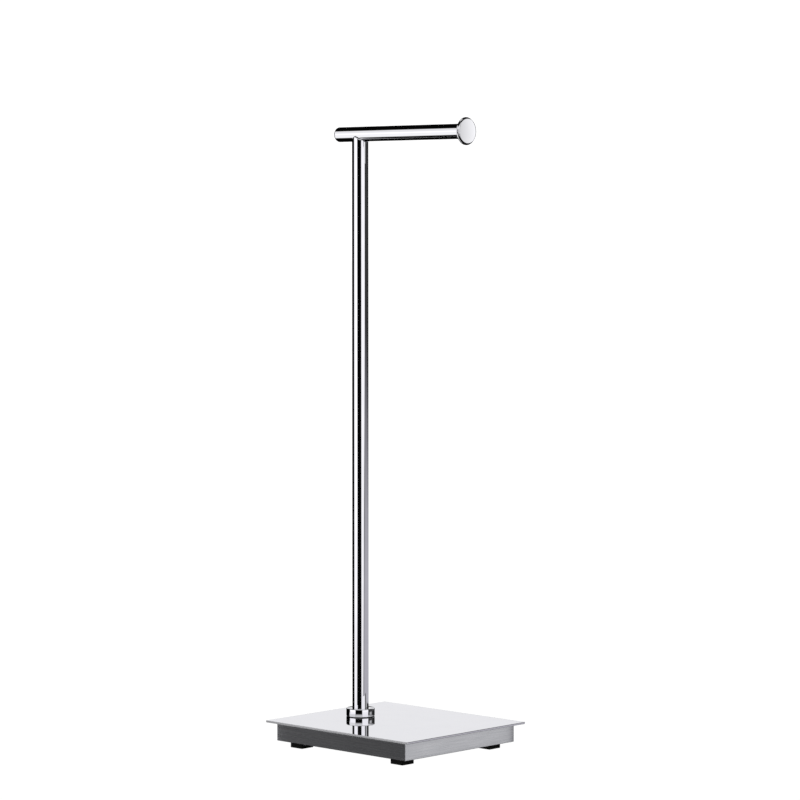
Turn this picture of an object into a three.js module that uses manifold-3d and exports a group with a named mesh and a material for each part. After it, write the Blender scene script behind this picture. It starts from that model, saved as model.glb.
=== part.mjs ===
// A free-standing toilet roll holder. A weighted rectangular base carries one round post, which
// a single bolt clamps to it from beneath. A horizontal arm crosses the top of the post, and
// a flared stop at its open end keeps the roll from sliding off.
//
// Units are millimetres. The origin is on the floor under the centre of the base, +Z is up and
// +X runs along the arm towards its open end. Left is -X, right is +X, front is -Y, back is +Y.

import * as THREE from 'three';
import { mergeVertices } from 'three/addons/utils/BufferGeometryUtils.js';
import Module from 'manifold-3d';

const wasm = await Module();
wasm.setup();

// Clearances and facet counts.
const CONTACT_GAP = 0.05; // between faces that rest on each other
const SLIP_GAP = 0.1; // round one piece in the bore of another, on the radius
const BOLT_CLEARANCE = 0.3; // round a bolt or screw in a plain hole, on the radius
const SADDLE_GAP = 0.2; // between the arm and the saddle cut in the top of the post
const LARGE_FACETS = 40;
const SMALL_FACETS = 16;
const CORNER_STEPS = 2; // quality of a rounded corner that has no hole beside it
const HOLE_STEPS = 6; // half the number of sides of a round hole in a flat piece
const ARC_STEPS = 3;

// Driving dimensions of the base.
const PLATE_LENGTH = 190;
const PLATE_WIDTH = 168;
const PLATE_THICKNESS = 2;
const PLATE_CORNER = 0.8;
const TRAY_HEIGHT = 17.5;
const TRAY_INSET_X = 8.5; // from the plate's edge
const TRAY_INSET_Y = 6.5;
const TRAY_CORNER = 1.6;
const TRAY_SHEET = 1.2;
const COVER_THICKNESS = 1;
const COVER_RECESS = 0.1; // above the tray's lower edge
const BALLAST_THICKNESS = 10;
const BALLAST_MARGIN = 1.3; // to the tray's inner walls
const FOOT_SIDE = 16;
const FOOT_HEIGHT = 6.5;
const FOOT_CORNER = 0.8;
const FOOT_INSET_X = 11; // from the tray's side
const FOOT_INSET_Y = 8;
const FOOT_RECESS_DEPTH = 4.2;
const STUD_INSET_X = 26.5; // from the tray's side to the stud's axis
const STUD_INSET_Y = 32.5;
const STUD_LENGTH = 8;
const STUD_POCKET_RADIUS = 5.5;

// Driving dimensions of the post and the arm.
const POST_X = -PLATE_LENGTH / 4;
const POST_RADIUS = 8;
const POST_WALL = 1;
const COLLAR_RADIUS = 14;
const COLLAR_HEIGHT = 8; // from the plate to the collar's upper face
const COLLAR_EDGE = 0.3;
const GASKET_THICKNESS = 0.4;
const PLUG_HEIGHT = 22;
const ARM_HEIGHT = 598.5;
const ARM_RADIUS = 7.25;
const ARM_WALL = 1;
const ARM_BACK_REACH = 30.3; // behind the post's axis, to the face of the back cap
const BACK_CAP_THICKNESS = 2.5;
const BACK_CAP_EDGE = 2;
const SPIGOT_HEIGHT = 18;
const SPIGOT_NECK_RADIUS = 4;
const SPIGOT_NECK_HEIGHT = 4.3;
const SADDLE_LEDGE = 2.2; // the post's side lobes end this far under the arm's axis
const PLUG_INTO_ARM = 12; // how far the cap and the stop reach into the arm

// The end stop opens out from the arm as a cone, which rounds over into a flat rim.
const STOP_RADIUS = 13.25;
const STOP_LENGTH = 7.5;
const STOP_CONE_SPREAD = 5.2; // growth in radius of the straight part of the cone
const STOP_CONE_ANGLE = (55 * Math.PI) / 180; // from the arm's axis
const STOP_RIM_EDGE = 1.6;
const STOP_FACE_CROWN = 0.5;

// Fasteners, all metric. Threads are drawn as plain cylinders.
const BOLT = { radius: 4, length: 30, headFlats: 13, headHeight: 5.3 };
const BOLT_WASHER = { outer: 8, thickness: 1.6 };
const SPRING_WASHER = { outer: 7.4, thickness: 2, slot: 1.2 };
const BOLT_COUNTERBORE = { radius: 10, depth: 5 };
const SCREW = { radius: 2, length: 16, headRadius: 4, headHeight: 2.4 };
const SCREW_CROSS = { length: 4.2, width: 0.9, depth: 1.3 };
const SCREW_WASHER = { outer: 4.5, thickness: 0.8 };
const SPACER_RADIUS = 4;
const NUT = { flats: 7, height: 3.2 };
const THREAD_CHAMFER = 0.5;

// Levels above the floor, worked out from the sizes above.
const TRAY_TOP = FOOT_HEIGHT + TRAY_HEIGHT;
const TRAY_CEILING = TRAY_TOP - TRAY_SHEET;
const PLATE_TOP = TRAY_TOP + PLATE_THICKNESS;
const COVER_BOTTOM = FOOT_HEIGHT + COVER_RECESS;
const COVER_TOP = COVER_BOTTOM + COVER_THICKNESS;
const BALLAST_TOP = TRAY_CEILING - CONTACT_GAP;
const BALLAST_BOTTOM = BALLAST_TOP - BALLAST_THICKNESS;
const BOLT_SEAT = BALLAST_BOTTOM + BOLT_COUNTERBORE.depth;
const BOLT_WASHER_TOP = BOLT_SEAT - CONTACT_GAP;
const SPRING_WASHER_TOP = BOLT_WASHER_TOP - BOLT_WASHER.thickness - CONTACT_GAP;
const BOLT_HEAD_TOP = SPRING_WASHER_TOP - SPRING_WASHER.thickness - CONTACT_GAP;
const GASKET_BOTTOM = PLATE_TOP + CONTACT_GAP;
const POST_BOTTOM = GASKET_BOTTOM + GASKET_THICKNESS + CONTACT_GAP;
const COLLAR_TOP = PLATE_TOP + COLLAR_HEIGHT;

// Widths and places, worked out from the sizes above.
const TRAY_LENGTH = PLATE_LENGTH - 2 * TRAY_INSET_X;
const TRAY_WIDTH = PLATE_WIDTH - 2 * TRAY_INSET_Y;
const TRAY_INNER_LENGTH = TRAY_LENGTH - 2 * TRAY_SHEET;
const TRAY_INNER_WIDTH = TRAY_WIDTH - 2 * TRAY_SHEET;
const TRAY_INNER_CORNER = TRAY_CORNER - TRAY_SHEET;
const FOOT_X = TRAY_LENGTH / 2 - FOOT_INSET_X - FOOT_SIDE / 2;
const FOOT_Y = TRAY_WIDTH / 2 - FOOT_INSET_Y - FOOT_SIDE / 2;
const STUD_X = TRAY_LENGTH / 2 - STUD_INSET_X;
const STUD_Y = TRAY_WIDTH / 2 - STUD_INSET_Y;
const POST_BORE = POST_RADIUS - POST_WALL;
const ARM_BORE = ARM_RADIUS - ARM_WALL;
const ARM_BACK = BACK_CAP_THICKNESS - ARM_BACK_REACH; // along X, from the post's axis
const ARM_FRONT = PLATE_LENGTH / 2 - STOP_LENGTH - POST_X; // the stop ends over the plate's edge
const BOLT_HOLE = BOLT.radius + BOLT_CLEARANCE;
const SCREW_HOLE = SCREW.radius + BOLT_CLEARANCE;

const CORNERS = [
  { name: 'front_left', x: -1, y: -1 },
  { name: 'front_right', x: 1, y: -1 },
  { name: 'back_left', x: -1, y: 1 },
  { name: 'back_right', x: 1, y: 1 },
];

const MATERIALS = {
  chrome: finish('#e4e5ea', 0.06, 1),
  mirror: finish('#e8e8ec', 0.04, 1),
  brushed: finish('#a9a9ad', 0.35, 1),
  ballast: finish('#3c3d3f', 0.6, 0.8),
  zinc: finish('#b9bcc0', 0.35, 0.9),
  rubber: finish('#0b0b0c', 0.85, 0),
  nylon: finish('#1a1a1c', 0.6, 0),
};

function finish(color, roughness, metalness) {
  return new THREE.MeshStandardMaterial({ color, roughness, metalness });
}

// A named sub-part.
function part(name, geometry, material) {
  const mesh = new THREE.Mesh(geometry, material);
  mesh.name = name;
  return mesh;
}

// A closed geometry as a solid that can be cut and joined.
function toSolid(geometry) {
  const bare = geometry.clone();
  bare.deleteAttribute('normal');
  bare.deleteAttribute('uv');
  const welded = mergeVertices(bare);
  const index = welded.index.array;
  const triangles = [];
  for (let i = 0; i < index.length; i += 3) {
    const [a, b, c] = [index[i], index[i + 1], index[i + 2]];
    const flat = a === b || b === c || c === a;
    if (!flat) triangles.push(a, b, c);
  }
  return new wasm.Manifold(new wasm.Mesh({
    numProp: 3,
    vertProperties: new Float32Array(welded.attributes.position.array),
    triVerts: new Uint32Array(triangles),
  }));
}

// A solid as a geometry again.
function toGeometry(solid) {
  const mesh = solid.getMesh();
  const geometry = new THREE.BufferGeometry();
  geometry.setAttribute('position', new THREE.BufferAttribute(mesh.vertProperties, 3));
  geometry.setIndex(new THREE.BufferAttribute(mesh.triVerts, 1));
  geometry.computeVertexNormals();
  return geometry;
}

// The first geometry with each of the others cut out of it.
function cut(geometry, ...tools) {
  let solid = toSolid(geometry);
  for (const tool of tools) {
    solid = solid.subtract(toSolid(tool));
  }
  return toGeometry(solid);
}

// The first geometry with each of the others joined to it.
function join(geometry, ...others) {
  let solid = toSolid(geometry);
  for (const other of others) {
    solid = solid.add(toSolid(other));
  }
  return toGeometry(solid);
}

// A shape turned about the Z axis, from [radius, height] points that run upwards round the
// outside. The outline starts and ends on the axis, or closes on itself.
function turned(points, facets = LARGE_FACETS) {
  const outline = points.map(([radius, height]) => new THREE.Vector2(radius, height));
  return new THREE.LatheGeometry(outline, facets).rotateX(Math.PI / 2);
}

// The same with the axis of turning laid along +X.
function turnedAlongX(points) {
  return turned(points).rotateY(Math.PI / 2);
}

// A ring or tube between two radii and two heights.
function tubePoints(inner, outer, low, high) {
  return [[inner, low], [outer, low], [outer, high], [inner, high], [inner, low]];
}

function ring(inner, outer, low, high, facets = LARGE_FACETS) {
  return turned(tubePoints(inner, outer, low, high), facets);
}

function rod(radius, low, high, facets = SMALL_FACETS) {
  return turned([[0, low], [radius, low], [radius, high], [0, high]], facets);
}

// Points of a quarter or shorter arc, given its centre, radius and first and last angle.
function arc(centreRadius, centreHeight, radius, from, to) {
  const points = [];
  for (let i = 0; i <= ARC_STEPS; i += 1) {
    const angle = from + ((to - from) * i) / ARC_STEPS;
    points.push([centreRadius + radius * Math.cos(angle), centreHeight + radius * Math.sin(angle)]);
  }
  return points;
}

// The outline of a rectangle with rounded corners, centred on the origin.
function roundedRectangle(length, width, corner) {
  const x = length / 2;
  const y = width / 2;
  const shape = new THREE.Shape();
  shape.moveTo(-x + corner, -y);
  shape.lineTo(x - corner, -y);
  shape.absarc(x - corner, -y + corner, corner, -Math.PI / 2, 0, false);
  shape.lineTo(x, y - corner);
  shape.absarc(x - corner, y - corner, corner, 0, Math.PI / 2, false);
  shape.lineTo(-x + corner, y);
  shape.absarc(-x + corner, y - corner, corner, Math.PI / 2, Math.PI, false);
  shape.lineTo(-x, -y + corner);
  shape.absarc(-x + corner, -y + corner, corner, Math.PI, 1.5 * Math.PI, false);
  shape.closePath();
  return shape;
}

// A round hole for a shape, as a path.
function roundHole(x, y, radius) {
  const hole = new THREE.Path();
  hole.absarc(x, y, radius, 0, 2 * Math.PI, true);
  return hole;
}

// A flat piece cut from a shape, between two heights.
function slab(shape, low, high, curveSegments = CORNER_STEPS) {
  const options = { depth: high - low, bevelEnabled: false, curveSegments };
  return new THREE.ExtrudeGeometry(shape, options).translate(0, 0, low);
}

// A hexagonal prism, sized across its flats.
function hexPrism(flats, low, high) {
  const cornerRadius = flats / Math.sqrt(3);
  const shape = new THREE.Shape();
  for (let i = 0; i < 6; i += 1) {
    const angle = (i * Math.PI) / 3;
    const x = cornerRadius * Math.cos(angle);
    const y = cornerRadius * Math.sin(angle);
    if (i === 0) shape.moveTo(x, y);
    else shape.lineTo(x, y);
  }
  shape.closePath();
  return slab(shape, low, high);
}

// The clamp bolt's hole, in the pieces of the base that it passes through.
function boltHole() {
  return roundHole(POST_X, 0, BOLT_HOLE);
}

function topPlate() {
  const shape = roundedRectangle(PLATE_LENGTH, PLATE_WIDTH, PLATE_CORNER);
  shape.holes.push(boltHole());
  return slab(shape, TRAY_TOP + CONTACT_GAP, PLATE_TOP, HOLE_STEPS);
}

// A folded sheet box, open below: four walls and a top with holes for the bolt and the studs.
function baseTray() {
  const walls = roundedRectangle(TRAY_LENGTH, TRAY_WIDTH, TRAY_CORNER);
  walls.holes.push(roundedRectangle(TRAY_INNER_LENGTH, TRAY_INNER_WIDTH, TRAY_INNER_CORNER));
  const top = roundedRectangle(TRAY_LENGTH, TRAY_WIDTH, TRAY_CORNER);
  top.holes.push(boltHole());
  for (const corner of CORNERS) {
    top.holes.push(roundHole(corner.x * STUD_X, corner.y * STUD_Y, SCREW_HOLE));
  }
  return join(slab(walls, FOOT_HEIGHT, TRAY_TOP), slab(top, TRAY_CEILING, TRAY_TOP, HOLE_STEPS));
}

// A steel slab under the tray's top, with pockets round the stud nuts, holes for the foot
// screws and a counterbore for the clamp bolt's head.
function ballastPlate() {
  const length = TRAY_INNER_LENGTH - 2 * BALLAST_MARGIN;
  const width = TRAY_INNER_WIDTH - 2 * BALLAST_MARGIN;
  const shape = roundedRectangle(length, width, TRAY_CORNER);
  shape.holes.push(boltHole());
  for (const corner of CORNERS) {
    shape.holes.push(roundHole(corner.x * STUD_X, corner.y * STUD_Y, STUD_POCKET_RADIUS));
    shape.holes.push(roundHole(corner.x * FOOT_X, corner.y * FOOT_Y, SCREW.radius + SLIP_GAP));
  }
  const counterbore = rod(
    BOLT_COUNTERBORE.radius,
    BALLAST_BOTTOM - 1,
    BALLAST_BOTTOM + BOLT_COUNTERBORE.depth,
  ).translate(POST_X, 0, 0);
  return cut(slab(shape, BALLAST_BOTTOM, BALLAST_TOP, HOLE_STEPS), counterbore);
}

// The sheet that closes the tray from beneath, with a hole to reach the clamp bolt's head.
function bottomCover() {
  const length = TRAY_INNER_LENGTH - 2 * SLIP_GAP;
  const width = TRAY_INNER_WIDTH - 2 * SLIP_GAP;
  const shape = roundedRectangle(length, width, TRAY_INNER_CORNER);
  shape.holes.push(roundHole(POST_X, 0, BOLT_COUNTERBORE.radius));
  for (const corner of CORNERS) {
    shape.holes.push(roundHole(corner.x * FOOT_X, corner.y * FOOT_Y, SCREW_HOLE));
  }
  return slab(shape, COVER_BOTTOM, COVER_TOP, HOLE_STEPS);
}

// A square rubber pad with a hole for its screw and a recess for the washer and the head.
function foot() {
  const pad = slab(roundedRectangle(FOOT_SIDE, FOOT_SIDE, FOOT_CORNER), 0, FOOT_HEIGHT);
  const hole = rod(SCREW_HOLE, -1, FOOT_HEIGHT + 1);
  const recess = rod(SCREW_WASHER.outer + BOLT_CLEARANCE, -1, FOOT_RECESS_DEPTH);
  return cut(pad, hole, recess);
}

// A pan-head screw that points upwards, with a cross recess in its head.
function footScrew() {
  const headTop = FOOT_RECESS_DEPTH - SCREW_WASHER.thickness - 2 * CONTACT_GAP;
  const headBottom = headTop - SCREW.headHeight;
  const shoulder = SCREW.headRadius - SCREW.headHeight / 2;
  const tip = headTop + SCREW.length;
  const body = turned([
    [0, headBottom],
    [shoulder, headBottom],
    ...arc(shoulder, headBottom + SCREW.headHeight / 2, SCREW.headHeight / 2, -Math.PI / 2, 0),
    [SCREW.headRadius, headTop],
    [SCREW.radius, headTop],
    [SCREW.radius, tip - THREAD_CHAMFER],
    [SCREW.radius - THREAD_CHAMFER, tip],
    [0, tip],
  ], SMALL_FACETS);
  const slotHeight = 2 * SCREW_CROSS.depth;
  const slots = [0, Math.PI / 2].map((turn) => (
    new THREE.BoxGeometry(SCREW_CROSS.length, SCREW_CROSS.width, slotHeight)
      .rotateZ(turn)
      .translate(0, 0, headBottom)
  ));
  return cut(body, ...slots);
}

function footWasher() {
  const top = FOOT_RECESS_DEPTH - CONTACT_GAP;
  return ring(SCREW_HOLE, SCREW_WASHER.outer, top - SCREW_WASHER.thickness, top, SMALL_FACETS);
}

// A sleeve that carries a foot screw's pull from the cover to the ballast.
function footSpacer() {
  return ring(SCREW_HOLE, SPACER_RADIUS, COVER_TOP + CONTACT_GAP, BALLAST_BOTTOM - CONTACT_GAP, SMALL_FACETS);
}

// A stud welded under the plate, which passes through the tray's top.
function plateStud() {
  const bottom = TRAY_TOP - STUD_LENGTH;
  return turned([
    [0, bottom],
    [SCREW.radius - THREAD_CHAMFER, bottom],
    [SCREW.radius, bottom + THREAD_CHAMFER],
    [SCREW.radius, TRAY_TOP],
    [0, TRAY_TOP],
  ], SMALL_FACETS);
}

function studNut() {
  const top = TRAY_CEILING - CONTACT_GAP;
  const bottom = top - NUT.height;
  return cut(hexPrism(NUT.flats, bottom, top), rod(SCREW.radius + SLIP_GAP, bottom - 1, top + 1));
}

// The clamp bolt and its washers hang under the ballast's counterbore.
function boltWasher() {
  return ring(BOLT_HOLE, BOLT_WASHER.outer, BOLT_WASHER_TOP - BOLT_WASHER.thickness, BOLT_WASHER_TOP);
}

// A split ring. The slot is slanted, as the cut in a coiled washer is.
function springWasher() {
  const bottom = SPRING_WASHER_TOP - SPRING_WASHER.thickness;
  const body = ring(BOLT_HOLE, SPRING_WASHER.outer, bottom, SPRING_WASHER_TOP);
  const slot = new THREE.BoxGeometry(SPRING_WASHER.outer, SPRING_WASHER.slot, 3 * SPRING_WASHER.thickness)
    .rotateX(Math.PI / 6)
    .translate(SPRING_WASHER.outer, 0, bottom + SPRING_WASHER.thickness / 2);
  return cut(body, slot);
}

function postBolt() {
  const tip = BOLT_HEAD_TOP + BOLT.length;
  const head = hexPrism(BOLT.headFlats, BOLT_HEAD_TOP - BOLT.headHeight, BOLT_HEAD_TOP);
  const shank = turned([
    [0, BOLT_HEAD_TOP - 1],
    [BOLT.radius, BOLT_HEAD_TOP - 1],
    [BOLT.radius, tip - THREAD_CHAMFER],
    [BOLT.radius - THREAD_CHAMFER, tip],
    [0, tip],
  ]);
  return join(head, shank);
}

// A thin ring between the plate and the foot of the post.
function seatGasket() {
  return ring(BOLT_HOLE, COLLAR_RADIUS - COLLAR_EDGE, GASKET_BOTTOM, GASKET_BOTTOM + GASKET_THICKNESS);
}

// A turned plug in the foot of the post, tapped from beneath for the clamp bolt.
function postPlug() {
  const outer = POST_BORE - SLIP_GAP;
  const top = POST_BOTTOM + PLUG_HEIGHT;
  const tapped = BOLT.radius + SLIP_GAP;
  const tappedEnd = BOLT_HEAD_TOP + BOLT.length + 1;
  return turned([
    [0, tappedEnd],
    [tapped, tappedEnd],
    [tapped, POST_BOTTOM],
    [outer, POST_BOTTOM],
    [outer, top],
    [0, top],
  ]);
}

// A flat ring round the foot of the post, with its outer edges just broken.
function baseCollar() {
  const inner = POST_RADIUS + SLIP_GAP;
  return turned([
    [inner, POST_BOTTOM],
    [COLLAR_RADIUS - COLLAR_EDGE, POST_BOTTOM],
    [COLLAR_RADIUS, POST_BOTTOM + COLLAR_EDGE],
    [COLLAR_RADIUS, COLLAR_TOP - COLLAR_EDGE],
    [COLLAR_RADIUS - COLLAR_EDGE, COLLAR_TOP],
    [inner, COLLAR_TOP],
    [inner, POST_BOTTOM],
  ]);
}

// A round tube whose top is cut to a saddle, so that it fits round the underside of the arm.
function postTube() {
  const tube = ring(POST_BORE, POST_RADIUS, POST_BOTTOM, ARM_HEIGHT - SADDLE_LEDGE);
  const saddle = rod(ARM_RADIUS + SADDLE_GAP, -2 * POST_RADIUS, 2 * POST_RADIUS, LARGE_FACETS)
    .rotateY(Math.PI / 2)
    .translate(0, 0, ARM_HEIGHT);
  return cut(tube, saddle);
}

// A plug in the top of the post. Its neck passes through the arm's lower wall and locates it.
function armSpigot() {
  const shoulder = ARM_HEIGHT - ARM_RADIUS - SADDLE_GAP;
  const outer = POST_BORE - SLIP_GAP;
  return turned([
    [0, shoulder - SPIGOT_HEIGHT],
    [outer, shoulder - SPIGOT_HEIGHT],
    [outer, shoulder],
    [SPIGOT_NECK_RADIUS, shoulder],
    [SPIGOT_NECK_RADIUS, shoulder + SPIGOT_NECK_HEIGHT],
    [0, shoulder + SPIGOT_NECK_HEIGHT],
  ], SMALL_FACETS);
}

// The arm's pieces are turned about X and then raised to the arm's height.
function armTube() {
  const tube = turnedAlongX(tubePoints(ARM_BORE, ARM_RADIUS, ARM_BACK, ARM_FRONT));
  const spigotHole = rod(SPIGOT_NECK_RADIUS + SLIP_GAP, -2 * ARM_RADIUS, 0);
  return cut(tube, spigotHole).translate(0, 0, ARM_HEIGHT);
}

// A cap with a rounded edge closes the arm's back end.
function armBackCap() {
  const plugRadius = ARM_BORE - SLIP_GAP;
  const back = -ARM_BACK_REACH;
  const seat = ARM_BACK - CONTACT_GAP;
  const edgeRadius = ARM_RADIUS - BACK_CAP_EDGE;
  return turnedAlongX([
    [0, back],
    ...arc(edgeRadius, back + BACK_CAP_EDGE, BACK_CAP_EDGE, -Math.PI / 2, 0),
    [ARM_RADIUS, seat],
    [plugRadius, seat],
    [plugRadius, seat + PLUG_INTO_ARM],
    [0, seat + PLUG_INTO_ARM],
  ]).translate(0, 0, ARM_HEIGHT);
}

// The flared stop: a plug in the arm, a cone, a rounded shoulder, a rim and a crowned face.
function armEndStop() {
  const plugRadius = ARM_BORE - SLIP_GAP;
  const seat = ARM_FRONT + CONTACT_GAP;
  const front = ARM_FRONT + STOP_LENGTH;
  const coneEnd = seat + STOP_CONE_SPREAD / Math.tan(STOP_CONE_ANGLE);
  const coneEndRadius = ARM_RADIUS + STOP_CONE_SPREAD;
  const shoulderRadius = (STOP_RADIUS - coneEndRadius) / (1 - Math.cos(STOP_CONE_ANGLE));
  const shoulderCentre = coneEnd + shoulderRadius * Math.sin(STOP_CONE_ANGLE);
  const faceEdge = front - STOP_FACE_CROWN;
  const rimCentreRadius = STOP_RADIUS - STOP_RIM_EDGE;
  return turnedAlongX([
    [0, seat - PLUG_INTO_ARM],
    [plugRadius, seat - PLUG_INTO_ARM],
    [plugRadius, seat],
    [ARM_RADIUS, seat],
    ...arc(STOP_RADIUS - shoulderRadius, shoulderCentre, shoulderRadius, -STOP_CONE_ANGLE, 0),
    ...arc(rimCentreRadius, faceEdge - STOP_RIM_EDGE, STOP_RIM_EDGE, 0, Math.PI / 2),
    [rimCentreRadius / 2, front - STOP_FACE_CROWN / 4],
    [0, front],
  ]).translate(0, 0, ARM_HEIGHT);
}

// The base: everything that stays still.
function buildBase() {
  const base = new THREE.Group();
  base.add(part('top_plate', topPlate(), MATERIALS.mirror));
  base.add(part('base_tray', baseTray(), MATERIALS.brushed));
  base.add(part('ballast_plate', ballastPlate(), MATERIALS.ballast));
  base.add(part('bottom_cover', bottomCover(), MATERIALS.brushed));
  for (const corner of CORNERS) {
    const footStack = new THREE.Group();
    footStack.position.set(corner.x * FOOT_X, corner.y * FOOT_Y, 0);
    footStack.add(part(`foot_${corner.name}`, foot(), MATERIALS.rubber));
    footStack.add(part(`foot_screw_${corner.name}`, footScrew(), MATERIALS.zinc));
    footStack.add(part(`foot_washer_${corner.name}`, footWasher(), MATERIALS.zinc));
    footStack.add(part(`foot_spacer_${corner.name}`, footSpacer(), MATERIALS.zinc));
    base.add(footStack);

    const studStack = new THREE.Group();
    studStack.position.set(corner.x * STUD_X, corner.y * STUD_Y, 0);
    studStack.add(part(`plate_stud_${corner.name}`, plateStud(), MATERIALS.zinc));
    studStack.add(part(`stud_nut_${corner.name}`, studNut(), MATERIALS.zinc));
    base.add(studStack);
  }
  const clamp = new THREE.Group();
  clamp.position.set(POST_X, 0, 0);
  clamp.add(part('seat_gasket', seatGasket(), MATERIALS.nylon));
  clamp.add(part('bolt_washer', boltWasher(), MATERIALS.zinc));
  clamp.add(part('spring_washer', springWasher(), MATERIALS.zinc));
  base.add(clamp);
  return base;
}

// The post with its arm: everything that turns about the clamp bolt's axis.
function buildPost() {
  const post = new THREE.Group();
  post.position.set(POST_X, 0, 0);
  post.add(part('post_bolt', postBolt(), MATERIALS.zinc));
  post.add(part('post_plug', postPlug(), MATERIALS.zinc));
  post.add(part('base_collar', baseCollar(), MATERIALS.chrome));
  post.add(part('post_tube', postTube(), MATERIALS.chrome));
  post.add(part('arm_spigot', armSpigot(), MATERIALS.zinc));
  post.add(part('arm_tube', armTube(), MATERIALS.chrome));
  post.add(part('arm_back_cap', armBackCap(), MATERIALS.chrome));
  post.add(part('arm_end_stop', armEndStop(), MATERIALS.chrome));
  return post;
}

const holder = new THREE.Group();
holder.name = 'toilet_roll_holder';
holder.add(buildBase());
holder.add(buildPost());

export default holder;
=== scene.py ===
"""Fine visual model of a free-standing toilet roll holder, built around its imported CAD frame.

The holder is a weighted base (mirror-polished plate, brushed tray, rubber feet, ballast) that
carries a chromed post and arm. Every piece takes its place from the CAD node that it stands for,
so this file holds only the sizes that the CAD model leaves plain: edge radii, bends, threads,
recesses and seams. Lengths in dataclass fields are in millimetres and are turned to metres once,
when a mesh is made.
"""

from __future__ import annotations

import functools
import logging
import math
from dataclasses import dataclass, field
from enum import Enum
from typing import Any, Iterable, Sequence

import bmesh
import bpy
import numpy as np
from mathutils import Matrix, Vector

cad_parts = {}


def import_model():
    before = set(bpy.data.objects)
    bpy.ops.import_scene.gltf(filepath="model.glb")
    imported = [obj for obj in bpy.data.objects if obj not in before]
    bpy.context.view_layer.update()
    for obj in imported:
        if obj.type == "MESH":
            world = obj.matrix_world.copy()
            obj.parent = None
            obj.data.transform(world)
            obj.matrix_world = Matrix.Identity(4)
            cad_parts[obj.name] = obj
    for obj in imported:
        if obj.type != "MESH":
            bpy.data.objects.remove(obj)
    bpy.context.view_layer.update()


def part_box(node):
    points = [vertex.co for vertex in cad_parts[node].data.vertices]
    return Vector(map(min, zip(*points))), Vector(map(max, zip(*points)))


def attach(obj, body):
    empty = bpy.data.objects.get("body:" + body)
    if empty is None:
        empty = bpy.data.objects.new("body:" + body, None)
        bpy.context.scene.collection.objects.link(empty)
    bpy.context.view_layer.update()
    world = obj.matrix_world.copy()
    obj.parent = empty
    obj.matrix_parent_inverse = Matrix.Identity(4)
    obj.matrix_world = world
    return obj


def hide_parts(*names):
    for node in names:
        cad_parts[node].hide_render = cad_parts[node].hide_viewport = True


LOG = logging.getLogger("holder")
MM = 0.001
CORNERS = ("front_left", "front_right", "back_left", "back_right")
SMOOTH_ANGLE = math.radians(32)  # rounded edges shade smooth up to this
CUT_ANGLE = math.radians(20)  # threads and cut hexagons stay sharp past this
HEXAGON_CHAMFER = math.radians(30)
THREAD_DEPTH = 0.61  # depth of a metric thread as a share of its pitch
MERGE_DISTANCE = 1e-7
LEAST_CORNER = 0.02  # smallest corner radius of a panel's loop, in millimetres
FINE_SIDES = 128
MEDIUM_SIDES = 64
SMALL_SIDES = 40
MIX_A, MIX_B, MIX_RESULT = 6, 7, 2  # the colour sockets of a Mix node


class Body(Enum):
    """The two rigid bodies of the holder."""

    BASE = "base"
    POST = "post"


class Slot(Enum):
    """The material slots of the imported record."""

    CHROME = "polished_chrome"
    MIRROR = "mirror_plate"
    BRUSHED = "brushed_stainless"
    BALLAST = "ballast_steel"
    ZINC = "zinc_steel"
    RUBBER = "black_rubber"
    NYLON = "black_nylon"


class Grain(Enum):
    """The way that the brushing runs on a sheet."""

    ROUND_THE_SIDES = "sides"
    ALONG_X = "along_x"


# --------------------------------------------------------------------------------------------
# Nodes and colours
# --------------------------------------------------------------------------------------------


def linear(hex_colour: str) -> tuple[float, float, float, float]:
    """Turns an sRGB hex colour to a linear colour.

    Args:
        hex_colour: The colour as "#rrggbb".

    Returns:
        Linear red, green, blue and an alpha of 1.
    """
    channels = [int(hex_colour[i : i + 2], 16) / 255 for i in (1, 3, 5)]
    red, green, blue = (c / 12.92 if c <= 0.04045 else ((c + 0.055) / 1.055) ** 2.4 for c in channels)
    return (red, green, blue, 1.0)


def socket(sockets: Any, key: str | int) -> bpy.types.NodeSocket:
    """Finds a socket by its index, or the first one in use with a name.

    Args:
        sockets: A node's inputs or outputs.
        key: Index or name.

    Returns:
        The socket.
    """
    if isinstance(key, int):
        return sockets[key]
    return next(s for s in sockets if s.name == key and s.enabled)


def add(
    tree: bpy.types.NodeTree,
    kind: str,
    settings: dict[str, Any] | str | None = None,
    inputs: dict[str | int, Any] | Sequence[Any] = (),
    output: str | int = 0,
) -> bpy.types.NodeSocket:
    """Adds a node with its settings and links.

    Args:
        tree: The tree to add to.
        kind: The node's type.
        settings: Attributes of the node, or the name of its operation alone.
        inputs: A value, or an output socket to link, for each input by name or index, or a
            row of them for the first inputs.
        output: The output wanted, by name or index.

    Returns:
        The wanted output socket. Its node is reached as its .node.
    """
    node = tree.nodes.new(kind)
    chosen = {"operation": settings} if isinstance(settings, str) else settings or {}
    for name, value in chosen.items():
        setattr(node, name, value)
    for key, value in inputs.items() if isinstance(inputs, dict) else enumerate(inputs):
        target = socket(node.inputs, key)
        if isinstance(value, bpy.types.NodeSocket):
            tree.links.new(value, target)
        else:
            target.default_value = value
    return socket(node.outputs, output) if len(node.outputs) else node.inputs[0]


def blank_material(name: str) -> tuple[bpy.types.Material, bpy.types.NodeTree]:
    """Makes a material with an empty tree.

    Args:
        name: The material's name.

    Returns:
        The material and its tree.
    """
    material = bpy.data.materials.new(name)
    material.use_nodes = True
    material.node_tree.nodes.clear()
    return material, material.node_tree


# --------------------------------------------------------------------------------------------
# Finishes
# --------------------------------------------------------------------------------------------


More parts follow.
